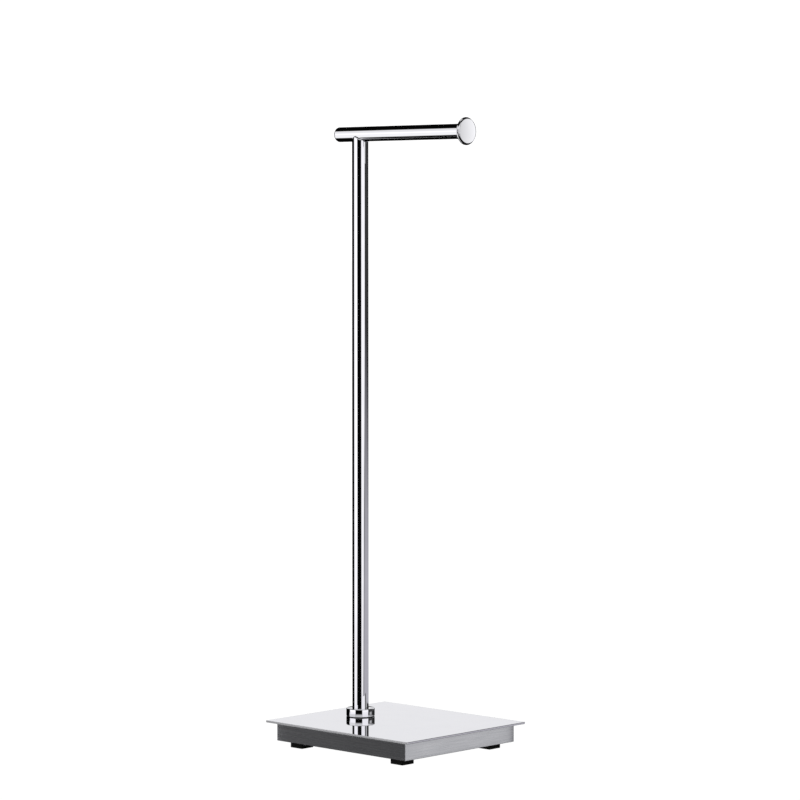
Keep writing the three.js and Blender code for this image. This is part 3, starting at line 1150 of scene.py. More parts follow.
def rectangle(name: str, length: float, width: float) -> bpy.types.Mesh:
    """Makes a level rectangle round the origin.

    Args:
        name: The mesh's name.
        length: Its length along X, in metres.
        width: Its width along Y, in metres.

    Returns:
        The mesh, with its face up.
    """
    x, y = length / 2, width / 2
    mesh = bpy.data.meshes.new(name)
    corners = [(-x, -y, 0.0), (x, -y, 0.0), (x, y, 0.0), (-x, y, 0.0)]
    mesh.from_pydata(corners, [], [(0, 1, 2, 3)])
    return mesh


def along_x(height: float, start: float) -> Matrix:
    """Gives the matrix that lays a turned piece along +X at a height, in metres."""
    return Matrix.Translation((start, 0.0, height)) @ Matrix.Rotation(math.pi / 2, 4, "Y")


def corner_points(stem: str, height: float) -> list[Vector]:
    """Finds where the four copies of a node stand.

    Args:
        stem: Start of the four nodes' names.
        height: Height for the points, in metres.

    Returns:
        One point for each copy.
    """
    points = []
    for name in CORNERS:
        centre = Extent.of(f"{stem}_{name}").centre
        points.append(Vector((centre.x, centre.y, height)))
    return points


def corner_nodes(stem: str) -> list[str]:
    """Names the four copies of a node."""
    return [f"{stem}_{name}" for name in CORNERS]


# --------------------------------------------------------------------------------------------
# The base
# --------------------------------------------------------------------------------------------


@dataclass
class TopPlate:
    """The mirror-polished plate, with softly rounded edges and a hole for the clamp bolt."""

    corner: float = 0.8
    edge: float = 0.3
    edge_steps: int = 6
    corner_steps: int = 8
    flat_margin: float = 0.3
    bolt_hole: float = 4.3

    def build(self) -> None:
        """Makes the plate in the place of its CAD node."""
        box = Extent.of("top_plate")
        low, high = box.levels
        shell = Shell()
        flat = self.edge + self.flat_margin
        profile = [(flat, low), *rounded_below(self.edge, low, self.edge_steps)]
        profile += [*rounded_above(self.edge, high, self.edge_steps), (flat, high)]
        outer = [shell.panel(box.plan, self.corner, inset, z, self.corner_steps) for inset, z in profile]
        centre = (Extent.of("post_tube").centre.x / MM, 0.0)
        hole = [shell.ring(centre, self.bolt_hole, z, SMALL_SIDES) for z in (low, high)]
        shell.bridge(outer)
        shell.bridge(hole)
        shell.fill([outer[0], hole[0]])
        shell.fill([outer[-1], hole[-1]])
        plate = shell.object("polished_top_plate")
        publish(plate, Body.BASE, Slot.MIRROR, MIRROR, ["top_plate"])


@dataclass
class Tray:
    """The folded box under the plate. Its walls bend down from its top and its corners are ground."""

    sheet: float = 1.2
    corner: float = 1.3
    bend: float = 1.5
    flat_margin: float = 0.3
    lip: float = 0.25
    steps: int = 6
    bolt_hole: float = 4.3
    stud_hole: float = 2.3

    def wall(self, shell: Shell, size: Pair, inset: float, low: float, high: float) -> list[Loop]:
        """Adds the loops of one side of the sheet, from its lower edge to the end of the bend.

        Args:
            shell: The shell to add to.
            size: Outer length and width of the tray.
            inset: 0 for the outer side, the sheet's thickness for the inner.
            low: Height of the lower edge.
            high: Height of the side's flat top.

        Returns:
            The loops, from below to above.
        """
        radius = self.bend - inset
        bent = rounded_above(radius, high, self.steps, inset)
        levels = [(inset, low), *bent, (inset + radius + self.flat_margin, high)]
        return [shell.panel(size, self.corner, i, z, self.steps) for i, z in levels]

    def build(self) -> None:
        """Makes the tray in the place of its CAD node."""
        box = Extent.of("base_tray")
        low, high = box.levels
        shell = Shell()
        outer = self.wall(shell, box.plan, 0.0, low + self.lip, high)
        inner = self.wall(shell, box.plan, self.sheet, low + self.lip, high - self.sheet)
        rim_insets = (self.lip, self.sheet - self.lip)
        rim = [shell.panel(box.plan, self.corner, inset, low, self.steps) for inset in rim_insets]
        holes = [(Extent.of("post_tube").centre.x / MM, 0.0, self.bolt_hole)]
        for point in corner_points("plate_stud", 0.0):
            holes.append((point.x / MM, point.y / MM, self.stud_hole))
        below = [shell.ring((x, y), r, high - self.sheet, SMALL_SIDES) for x, y, r in holes]
        above = [shell.ring((x, y), r, high, SMALL_SIDES) for x, y, r in holes]
        shell.bridge(outer)
        shell.bridge(inner)
        shell.bridge([outer[0], *rim, inner[0]])
        for pair in zip(below, above):
            shell.bridge(pair)
        shell.fill([outer[-1], *above])
        shell.fill([inner[-1], *below])
        tray = shell.object("brushed_tray")
        publish(tray, Body.BASE, Slot.BRUSHED, TRAY_BRUSHED, ["base_tray"])


@dataclass(frozen=True)
class Hole:
    """A round hole through a flat piece, in millimetres. A mouth is a wider part at its foot."""

    x: float
    y: float
    radius: float
    mouth: float = 0.0
    mouth_depth: float = 0.0


@dataclass
class FlatPiece:
    """A flat sheet or slab with rounded corners, broken edges and round holes."""

    name: str
    node: str
    slot: Slot
    finish: Finish
    corner: float
    edge: float
    steps: int = 5

    def build(self, holes: Sequence[Hole]) -> None:
        """Makes the piece in the place of its CAD node.

        Args:
            holes: The holes through it.
        """
        box = Extent.of(self.node)
        low, high = box.levels
        edge = self.edge
        shell = Shell()
        profile = [(edge, low), (0.0, low + edge), (0.0, high - edge), (edge, high)]
        outer = [shell.panel(box.plan, self.corner, inset, z, self.steps) for inset, z in profile]
        shell.bridge(outer)
        below, above = [outer[0]], [outer[-1]]
        for hole in holes:
            foot = hole.mouth or hole.radius
            levels = [(foot + edge, low), (foot, low + edge)]
            if hole.mouth:
                levels += [(foot, low + hole.mouth_depth), (hole.radius, low + hole.mouth_depth)]
            levels += [(hole.radius, high - edge), (hole.radius + edge, high)]
            rings = [shell.ring((hole.x, hole.y), r, z, SMALL_SIDES) for r, z in levels]
            shell.bridge(rings)
            below.append(rings[0])
            above.append(rings[-1])
        shell.fill(below)
        shell.fill(above)
        publish(shell.object(self.name), Body.BASE, self.slot, self.finish, [self.node])


@dataclass
class BaseInside:
    """The cover that closes the tray and the ballast slab above it."""

    screw_hole: float = 2.3
    tapped_hole: float = 2.1
    pocket: float = 5.5
    bolt_hole: float = 4.3
    cover_corner: float = 0.8
    cover_edge: float = 0.12
    ballast_corner: float = 1.6
    ballast_edge: float = 0.4

    def holes(self, stem: str, radius: float) -> list[Hole]:
        """Lists a hole at each of the four copies of a node."""
        return [Hole(p.x / MM, p.y / MM, radius) for p in corner_points(stem, 0.0)]

    def build(self) -> None:
        """Makes the cover and the slab."""
        post = Extent.of("post_tube").centre.x / MM
        counterbore, depth = ClampBolt.counterbore, ClampBolt.counterbore_depth
        cover = FlatPiece(
            "tray_bottom_cover",
            "bottom_cover",
            Slot.BRUSHED,
            COVER_BRUSHED,
            self.cover_corner,
            self.cover_edge,
        )
        cover.build([Hole(post, 0.0, counterbore), *self.holes("foot", self.screw_hole)])
        ballast = FlatPiece(
            "steel_ballast",
            "ballast_plate",
            Slot.BALLAST,
            MILL_SCALE,
            self.ballast_corner,
            self.ballast_edge,
        )
        clamp = Hole(post, 0.0, self.bolt_hole, counterbore, depth)
        studs = self.holes("plate_stud", self.pocket)
        ballast.build([clamp, *studs, *self.holes("foot", self.tapped_hole)])


@dataclass
class RubberFeet:
    """Four moulded square pads with rounded edges and a recess for the screw's head."""

    corner: float = 0.8
    edge: float = 0.6
    recess: float = 4.8
    hole: float = 2.3
    recess_depth: float = 4.2
    recess_edge: float = 0.3
    top_edge: float = 0.2
    steps: int = 5

    def build(self) -> None:
        """Makes one pad at each corner."""
        for name in CORNERS:
            node = f"foot_{name}"
            box = Extent.of(node)
            shell = Shell()
            high = box.high.z / MM
            sides = [*rounded_below(self.edge, 0.0, self.steps), (0.0, high - self.top_edge)]
            sides.append((self.top_edge, high))
            outer = [shell.panel(box.plan, self.corner, inset, z, self.steps) for inset, z in sides]
            levels = [
                (self.recess + self.recess_edge, 0.0),
                (self.recess, self.recess_edge),
                (self.recess, self.recess_depth),
                (self.hole, self.recess_depth),
                (self.hole, high),
            ]
            inner = [shell.ring((0.0, 0.0), r, z, SMALL_SIDES) for r, z in levels]
            shell.bridge(outer)
            shell.bridge(inner)
            shell.fill([outer[0], inner[0]])
            shell.fill([outer[-1], inner[-1]])
            pad = shell.object(f"rubber_{node}")
            pad.data.transform(Matrix.Translation((box.centre.x, box.centre.y, 0.0)))
            publish(pad, Body.BASE, Slot.RUBBER, RUBBER, [node])


@dataclass
class FootFasteners:
    """The screws that hold the feet, with their washers and spacer sleeves."""

    workshop: Workshop
    head_radius: float = 4.0
    head_height: float = 2.4
    head_round: float = 1.3
    head_flat: float = 1.6
    head_under: float = 0.2
    head_under_rise: float = 0.25
    shank: float = 2.0
    pitch: float = 0.7
    washer: float = 4.5
    hole: float = 2.3
    edge: float = 0.12
    cross: tuple[float, float, float] = (4.2, 0.85, 1.4)
    cross_mouth: float = 1.1
    cross_floor: float = 0.72
    cutter_reach: float = 1.0

    def pan_head(self) -> bpy.types.Object:
        """Makes a pan head under the origin, with a tapered cross recess in its lower face.

        Returns:
            The head.
        """
        low = -self.head_height
        round_centre = (self.head_radius - self.head_round, low + self.head_round)
        dome = arc(round_centre, self.head_round, -90, -10, 6)
        profile = [(0.0, low), (self.head_flat, low), *dome, (self.head_radius, -self.head_under_rise)]
        profile += [(self.head_radius - self.head_under, 0.0), (0.0, 0.0)]
        head = self.workshop.turned("pan_head", profile, ZINC, sides=SMALL_SIDES)
        length, width, depth = self.cross
        half = Vector((length, width, 0.0)) / 2
        ends = ((low - self.cutter_reach, self.cross_mouth), (low + depth, self.cross_floor))
        outlines = []
        for height, taper in ends:
            x, y = half.x * taper, half.y * taper
            outlines.append([(x, y, height), (-x, y, height), (-x, -y, height), (x, -y, height)])
        for turn in (0.0, math.pi / 2):
            cutter = block("cross_slot", outlines)
            cutter.data.transform(Matrix.Rotation(turn, 4, "Z"))
            head = boolean(head, cutter, "DIFFERENCE")
        return settle(head)

    def ring_at_corners(self, name: str, stem: str, inner: float, outer: float) -> None:
        """Makes a plain ring with broken edges at each corner.

        Args:
            name: The piece's name.
            stem: Start of the CAD nodes' names.
            inner: Radius of the hole.
            outer: Outer radius.
        """
        box = Extent.of(f"{stem}_front_left")
        height = box.size.z / MM
        edge = self.edge
        profile = [(inner, 0.0), (outer - edge, 0.0), (outer, edge), (outer, height - edge)]
        profile += [(outer - edge, height), (inner, height), (inner, 0.0)]
        ring = self.workshop.turned(f"{name}_one", profile, ZINC, sides=SMALL_SIDES)
        rings = self.workshop.repeated(name, ring, corner_points(stem, box.low.z), ZINC)
        publish(settle(rings), Body.BASE, Slot.ZINC, ZINC, corner_nodes(stem))

    def build(self) -> None:
        """Makes the screws, washers and sleeves."""
        box = Extent.of("foot_screw_front_left")
        seat = box.low.z + self.head_height * MM
        points = corner_points("foot_screw", seat)
        heads = self.workshop.repeated("screw_heads", self.pan_head(), points, ZINC)
        length = (box.high.z - seat) / MM
        shanks = self.workshop.threaded("screw_shanks", points, ZINC, self.shank, length, self.pitch)
        screws = joined("foot_screws", [heads, shanks])
        publish(screws, Body.BASE, Slot.ZINC, ZINC, corner_nodes("foot_screw"))
        self.ring_at_corners("foot_washers", "foot_washer", self.hole, self.washer)
        sleeve = Extent.of("foot_spacer_front_left").size.x / MM / 2
        self.ring_at_corners("foot_spacer_sleeves", "foot_spacer", self.hole, sleeve)


@dataclass
class PlateStuds:
    """The weld studs under the plate and the nuts that hold the tray to them."""

    workshop: Workshop
    radius: float = 2.0
    pitch: float = 0.7
    flats: float = 7.0
    nut_hole: float = 2.1
    countersink: float = 0.35

    def nut(self, height: float) -> bpy.types.Object:
        """Makes a hexagon nut above the origin, with chamfered corners and a countersunk hole.

        Args:
            height: The nut's height in millimetres.

        Returns:
            The nut.
        """
        hexagon = hexagon_block("stud_nut_block", self.flats, height)
        half = self.flats / 2
        reach = self.flats / math.sqrt(3)
        drop = (reach - half) * math.tan(HEXAGON_CHAMFER)
        hole, sink = self.nut_hole, self.countersink
        profile = [(hole + sink, 0.0), (half, 0.0), (reach, drop), (reach, height - drop), (half, height)]
        profile += [(hole + sink, height), (hole, height - sink), (hole, sink), (hole + sink, 0.0)]
        chamfer = self.workshop.turned("stud_nut_chamfer", profile, ZINC, sides=SMALL_SIDES)
        return settle(boolean(hexagon, chamfer, "INTERSECT"), CUT_ANGLE)

    def build(self) -> None:
        """Makes the four studs and the four nuts."""
        box = Extent.of("plate_stud_front_left")
        length = box.size.z / MM
        lifted = Matrix.Translation((0.0, 0.0, box.low.z + box.high.z))
        lower_ends = [Vector((p.x, -p.y, p.z)) for p in corner_points("plate_stud", box.low.z)]
        studs = self.workshop.threaded("weld_studs", lower_ends, ZINC, self.radius, length, self.pitch)
        studs.data.transform(lifted @ Matrix.Rotation(math.pi, 4, "X"))
        publish(studs, Body.BASE, Slot.ZINC, ZINC, corner_nodes("plate_stud"))
        nut_box = Extent.of("stud_nut_front_left")
        one = self.nut(nut_box.size.z / MM)
        places = corner_points("stud_nut", nut_box.low.z)
        nuts = self.workshop.repeated("hexagon_nuts", one, places, ZINC)
        publish(nuts, Body.BASE, Slot.ZINC, ZINC, corner_nodes("stud_nut"))


@dataclass
class ClampBolt:
    """The bolt that clamps the post from beneath, its two washers and the ring under the collar."""

    workshop: Workshop
    flats: float = 13.0
    head_height: float = 5.3
    radius: float = 4.0
    pitch: float = 1.25
    hole: float = 4.3
    washer_edge: float = 0.15
    spring_rise: float = 0.35
    spring_gap: float = 9.0
    counterbore: float = 10.0
    counterbore_depth: float = 5.0

    def bolt(self) -> None:
        """Makes the bolt: a chamfered hexagon head under a threaded shank."""
        box = Extent.of("post_bolt")
        height = self.head_height
        hexagon = hexagon_block("clamp_bolt_block", self.flats, height)
        half = self.flats / 2
        reach = self.flats / math.sqrt(3)
        drop = (reach - half) * math.tan(HEXAGON_CHAMFER)
        profile = [(0.0, 0.0), (half, 0.0), (reach, drop), (reach, height), (0.0, height)]
        chamfer = self.workshop.turned("clamp_bolt_chamfer", profile, ZINC, sides=MEDIUM_SIDES)
        head = settle(boolean(hexagon, chamfer, "INTERSECT"), CUT_ANGLE)
        place = Vector((box.centre.x, box.centre.y, box.low.z))
        head.data.transform(Matrix.Translation(place))
        seat = place + Vector((0.0, 0.0, height * MM))
        length = (box.high.z - seat.z) / MM
        shank = self.workshop.threaded("clamp_bolt_shank", [seat], ZINC, self.radius, length, self.pitch)
        publish(joined("clamp_bolt", [head, shank]), Body.POST, Slot.ZINC, ZINC, ["post_bolt"])

    def flat_ring(self, name: str, node: str, slot: Slot, finish: Finish) -> None:
        """Makes a flat ring with broken edges in the place of a node.

        Args:
            name: The piece's name.
            node: The CAD node.
            slot: Its slot in the record.
            finish: Its finish.
        """
        box = Extent.of(node)
        outer = box.size.x / MM / 2
        low, high = box.levels
        edge = min(self.washer_edge, (high - low) / 3)
        profile = [(self.hole, low), (outer - edge, low), (outer, low + edge), (outer, high - edge)]
        profile += [(outer - edge, high), (self.hole, high), (self.hole, low)]
        ring = self.workshop.turned(name, profile, finish, box.upright, MEDIUM_SIDES)
        publish(ring, Body.BASE, slot, finish, [node])

    def spring_washer(self) -> None:
        """Makes the split washer: a square section on one turn of a shallow helix."""
        box = Extent.of("spring_washer")
        low, high = box.levels
        outer = box.radius
        thickness = high - low - self.spring_rise
        sections = []
        shell = Shell()
        half_gap = math.radians(self.spring_gap) / 2
        for angle in np.linspace(half_gap, math.tau - half_gap, MEDIUM_SIDES):
            below = low + self.spring_rise * (angle - half_gap) / (math.tau - 2 * half_gap)
            above = below + thickness
            corners = [(self.hole, below), (outer, below), (outer, above), (self.hole, above)]
            sections.append(shell.loop((r * math.cos(angle), r * math.sin(angle), z) for r, z in corners))
        shell.bridge(sections)
        shell.fill(sections[:1])
        shell.fill(sections[-1:])
        washer = shell.object("clamp_spring_washer")
        washer.data.transform(box.upright)
        publish(washer, Body.BASE, Slot.ZINC, ZINC, ["spring_washer"])

    def build(self) -> None:
        """Makes the bolt and the rings round it."""
        self.bolt()
        self.spring_washer()
        self.flat_ring("clamp_flat_washer", "bolt_washer", Slot.ZINC, ZINC)
        self.flat_ring("collar_seat_ring", "seat_gasket", Slot.NYLON, NYLON)


# --------------------------------------------------------------------------------------------
# The post and the arm
# --------------------------------------------------------------------------------------------


@dataclass
class Post:
    """The post tube with its saddle joint to the arm, the collar and the plug in its foot."""

    workshop: Workshop
    wall: float = 1.0
    collar_edge: float = 0.35
    collar_bore_gap: float = 0.1
    fillet_out: float = 0.6
    fillet_side: float = 0.3
    fillet_rise: float = 0.8
    fillet_side_rise: float = 1.4
    fillet_pull: float = 0.25
    fillet_steps: int = 7
    foot_chamfer: float = 0.2
    joint_gap: float = 0.02
    bore_edge: float = 0.2
    plug_hole: float = 4.1
    plug_tapped: float = 18.6
    plug_drill_tip: float = 1.8
    plug_countersink: float = 0.6
    plug_foot_edge: float = 0.4
    plug_top_edge: float = 0.8

    def saddle_rows(self, radius: float, arm_radius: float, axis: float) -> list[np.ndarray]:
        """Gives the rows of the brazed fillet, from the post's wall to the arm's surface.

        The post is a little wider than the arm, so at the arm's sides the wall turns in to meet
        it, and in front and behind it flows out under it.

        Args:
            radius: The post's outer radius.
            arm_radius: The arm's outer radius.
            axis: Height of the arm's axis.

        Returns:
            Rows of points, all in millimetres, round the post's own axis.
        """
        turn = np.linspace(0, math.tau, FINE_SIDES, endpoint=False)
        across, side = np.cos(turn), np.sin(turn)
        touch_x = (radius + self.fillet_out) * across
        touch_y = (arm_radius - self.fillet_side) * side
        touch_z = axis - np.sqrt(arm_radius**2 - touch_y**2)
        rise = self.fillet_rise + self.fillet_side_rise * side**2
        start = np.stack([radius * across, radius * side, touch_z - rise], 1)
        pulled_z = touch_z - self.fillet_pull * rise * side**2
        control = np.stack([radius * across, radius * side, pulled_z], 1)
        end = np.stack([touch_x, touch_y, touch_z], 1)
        rows = []
        for t in np.linspace(0, 1, self.fillet_steps + 1):
            rows.append((1 - t) ** 2 * start + 2 * t * (1 - t) * control + t**2 * end)
        return rows

    def tube(self) -> None:
        """Makes the post's tube, closed in itself between its outer and its inner wall."""
        box = Extent.of("post_tube")
        arm = Extent.of("arm_tube")
        radius = box.radius
        bore = radius - self.wall
        axis = arm.centre.z / MM
        turn = np.linspace(0, math.tau, FINE_SIDES, endpoint=False)
        across, side = np.cos(turn), np.sin(turn)
        level = np.full_like(turn, box.low.z / MM)
        foot = radius - self.foot_chamfer
        inner_top = axis - np.sqrt(arm.radius**2 - (bore * side) ** 2) - self.joint_gap
        rows = [
            np.stack([foot * across, foot * side, level], 1),
            np.stack([radius * across, radius * side, level + self.foot_chamfer], 1),
            *self.saddle_rows(radius, arm.radius, axis),
            np.stack([bore * across, bore * side, inner_top], 1),
            np.stack([bore * across, bore * side, level], 1),
        ]
        shell = Shell()
        loops = [shell.loop(row) for row in rows]
        shell.bridge([*loops, loops[0]])
        tube = shell.object("chromed_post")
        tube.data.transform(box.upright)
        publish(tube, Body.POST, Slot.CHROME, CHROME, ["post_tube"])

    def collar(self) -> None:
        """Makes the collar, a turned ring with just broken edges."""
        box = Extent.of("base_collar")
        outer = box.radius
        inner = Extent.of("post_tube").radius + self.collar_bore_gap
        low, high = box.levels
        edge = self.collar_edge
        profile = [(inner, low), *arc((outer - edge, low + edge), edge, -90, 0, 4)]
        profile += [*arc((outer - edge, high - edge), edge, 0, 90, 4), (inner + self.bore_edge, high)]
        profile += [(inner, high - self.bore_edge), (inner, low)]
        collar = self.workshop.turned("chromed_collar", profile, CHROME, box.upright)
        publish(collar, Body.POST, Slot.CHROME, CHROME, ["base_collar"])

    def plug(self) -> None:
        """Makes the tapped plug in the foot of the post."""
        box = Extent.of("post_plug")
        outer, hole = box.radius, self.plug_hole
        low, high = box.levels
        end = low + self.plug_tapped
        sink = self.plug_countersink
        profile = [(0.0, end + self.plug_drill_tip), (hole, end), (hole, low + sink), (hole + sink, low)]
        profile += [(outer - self.plug_foot_edge, low), (outer, low + self.plug_foot_edge)]
        profile += [(outer, high - self.plug_top_edge), (outer - self.plug_top_edge, high), (0.0, high)]
        plug = self.workshop.turned("post_tapped_plug", profile, ZINC, box.upright, MEDIUM_SIDES)
        publish(plug, Body.POST, Slot.ZINC, ZINC, ["post_plug"])

    def build(self) -> None:
        """Makes the post's pieces."""
        self.tube()
        self.collar()
        self.plug()


@dataclass
class Arm:
    """The arm tube, its back cap, its flared end stop and the spigot that locates it."""

    workshop: Workshop
    wall: float = 1.0
    plug_gap: float = 0.1
    plug_depth: float = 12.0
    cap_edge: float = 2.6
    cap_crown: float = 0.25
    cone_spread: float = 5.2
    cone_angle: float = 55.0
    foot_blend: float = 0.3
    rim_edge: float = 2.2
    rim_turn: float = 82.0
    face_crown: float = 0.5
    face_start: float = 0.96
    face_steps: int = 14
    stop_length: float = 7.5
    spigot_neck: float = 4.0
    spigot_neck_height: float = 4.3
    spigot_foot_edge: float = 0.8
    spigot_shoulder_edge: float = 0.2
    hole_gap: float = 0.1
    joint_gap: float = 0.02
    plug_edge: float = 0.5

    def tube(self) -> None:
        """Makes the arm's tube, with the spigot's hole in its underside."""
        box = Extent.of("arm_tube")
        outer = box.radius
        bore = outer - self.wall
        length = box.size.x / MM
        profile = [(bore, 0.0), (outer, 0.0), (outer, length), (bore, length), (bore, 0.0)]
        place = along_x(box.centre.z, box.low.x)
        tube = self.workshop.turned("chromed_arm", profile, CHROME, place)
        radius = self.spigot_neck + self.hole_gap
        drill_profile = [(0.0, -2 * outer), (radius, -2 * outer), (radius, 0.0), (0.0, 0.0)]
        drill_place = Matrix.Translation((Extent.of("post_tube").centre.x, 0.0, box.centre.z))
        drill = self.workshop.turned("spigot_drill", drill_profile, CHROME, drill_place, SMALL_SIDES)
        tube = settle(boolean(tube, drill, "DIFFERENCE"))
        publish(tube, Body.POST, Slot.CHROME, CHROME, ["arm_tube"])

    def cap(self) -> None:
        """Makes the back cap, with a rounded edge and a faint crown."""
        box = Extent.of("arm_back_cap")
        arm = Extent.of("arm_tube")
        outer = box.radius
        bore = outer - self.wall - self.plug_gap
        seat = (arm.low.x - box.low.x) / MM - self.joint_gap
        end = box.size.x / MM
        edge, crown = self.cap_edge, self.cap_crown
        rounded = arc((outer - edge, crown + edge), edge, -90, 0, 8)
        profile = [(0.0, 0.0), ((outer - edge) / 2, crown / 4), *rounded, (outer, seat), (bore, seat)]
        profile += [(bore, end - self.plug_edge), (bore - self.plug_edge, end), (0.0, end)]
        cap = self.workshop.turned("arm_rear_cap", profile, CHROME, along_x(box.centre.z, box.low.x))
        publish(cap, Body.POST, Slot.CHROME, CHROME, ["arm_back_cap"])

    def stop_profile(self, radius: float, arm_radius: float) -> list[tuple[float, float]]:
        """Gives the stop's outside, from the arm's end to the crown of its face.

        Args:
            radius: The stop's radius.
            arm_radius: The arm's radius.

        Returns:
            Points of radius and distance from the arm's end.
        """
        angle = math.radians(self.cone_angle)
        blend = self.foot_blend
        foot_centre = (arm_radius + blend, 0.0)
        foot = arc(foot_centre, blend, 180, 180 - self.cone_angle, 4)
        cone_start = foot[-1]
        spread = arm_radius + self.cone_spread - cone_start[0]
        cone_end = (arm_radius + self.cone_spread, cone_start[1] + spread / math.tan(angle))
        shoulder = (radius - cone_end[0]) / (1 - math.cos(angle))
        shoulder_centre = (radius - shoulder, cone_end[1] + shoulder * math.sin(angle))
        rim = self.rim_edge
        face = self.stop_length - self.face_crown
        points = [*foot, *arc(shoulder_centre, shoulder, -self.cone_angle, 0, 10)]
        points += arc((radius - rim, face - rim), rim, 0, self.rim_turn, 8)
        sphere = ((radius - rim) ** 2 + self.face_crown**2) / (2 * self.face_crown)
        for share in np.linspace(self.face_start, 0.0, self.face_steps):
            reach = (radius - rim) * share
            points.append((reach, self.stop_length - sphere + math.sqrt(sphere**2 - reach**2)))
        return points

    def stop(self) -> None:
        """Makes the flared end stop with the plug that holds it in the arm."""
        box = Extent.of("arm_end_stop")
        arm = Extent.of("arm_tube")
        bore = arm.radius - self.wall - self.plug_gap
        depth = self.plug_depth
        profile = [(0.0, -depth), (bore - self.plug_edge, -depth), (bore, -depth + self.plug_edge)]
        profile += [(bore, 0.0), *self.stop_profile(box.radius, arm.radius)]
        stop = self.workshop.turned("flared_end_stop", profile, CHROME, along_x(box.centre.z, arm.high.x))
        publish(stop, Body.POST, Slot.CHROME, CHROME, ["arm_end_stop"])

    def spigot(self) -> None:
        """Makes the spigot in the top of the post."""
        box = Extent.of("arm_spigot")
        outer, neck = box.radius, self.spigot_neck
        low, high = box.levels
        shoulder = high - self.spigot_neck_height
        foot_edge, shoulder_edge = self.spigot_foot_edge, self.spigot_shoulder_edge
        neck_edge = self.plug_edge
        profile = [(0.0, low), (outer - foot_edge, low), (outer, low + foot_edge)]
        profile += [(outer, shoulder - shoulder_edge), (outer - shoulder_edge, shoulder), (neck, shoulder)]
        profile += [(neck, high - neck_edge), (neck - neck_edge, high), (0.0, high)]
        spigot = self.workshop.turned("arm_locating_spigot", profile, ZINC, box.upright, MEDIUM_SIDES)
        publish(spigot, Body.POST, Slot.ZINC, ZINC, ["arm_spigot"])

    def build(self) -> None:
        """Makes the arm's pieces."""
        self.tube()
        self.cap()
        self.stop()
        self.spigot()


# --------------------------------------------------------------------------------------------
# The studio
# --------------------------------------------------------------------------------------------


@dataclass(frozen=True)
class Panel:
    """A panel of the studio that polished metal mirrors, seen from the object.

    Angles are in degrees. A bearing is counted from the camera's, positive to the right of a
    viewer who looks at the object, so that what lies right of the camera shows right.
    """

    first: float
    last: float
    low: float = -90.0
    high: float = 90.0
    level: float = 1.0
    tint: str = "#ffffff"
    edge: float = 3.0


@dataclass(frozen=True)
class Card:
    """A glowing or dark card near the object that only reflections see, in metres.

    The glow runs evenly from one edge to the other: the first value is at the left of a viewer
    who faces the card.
    """

    name: str
    centre: tuple[float, float, float]
    size: tuple[float, float]
    facing: tuple[float, float, float]
    glow: tuple[float, float]


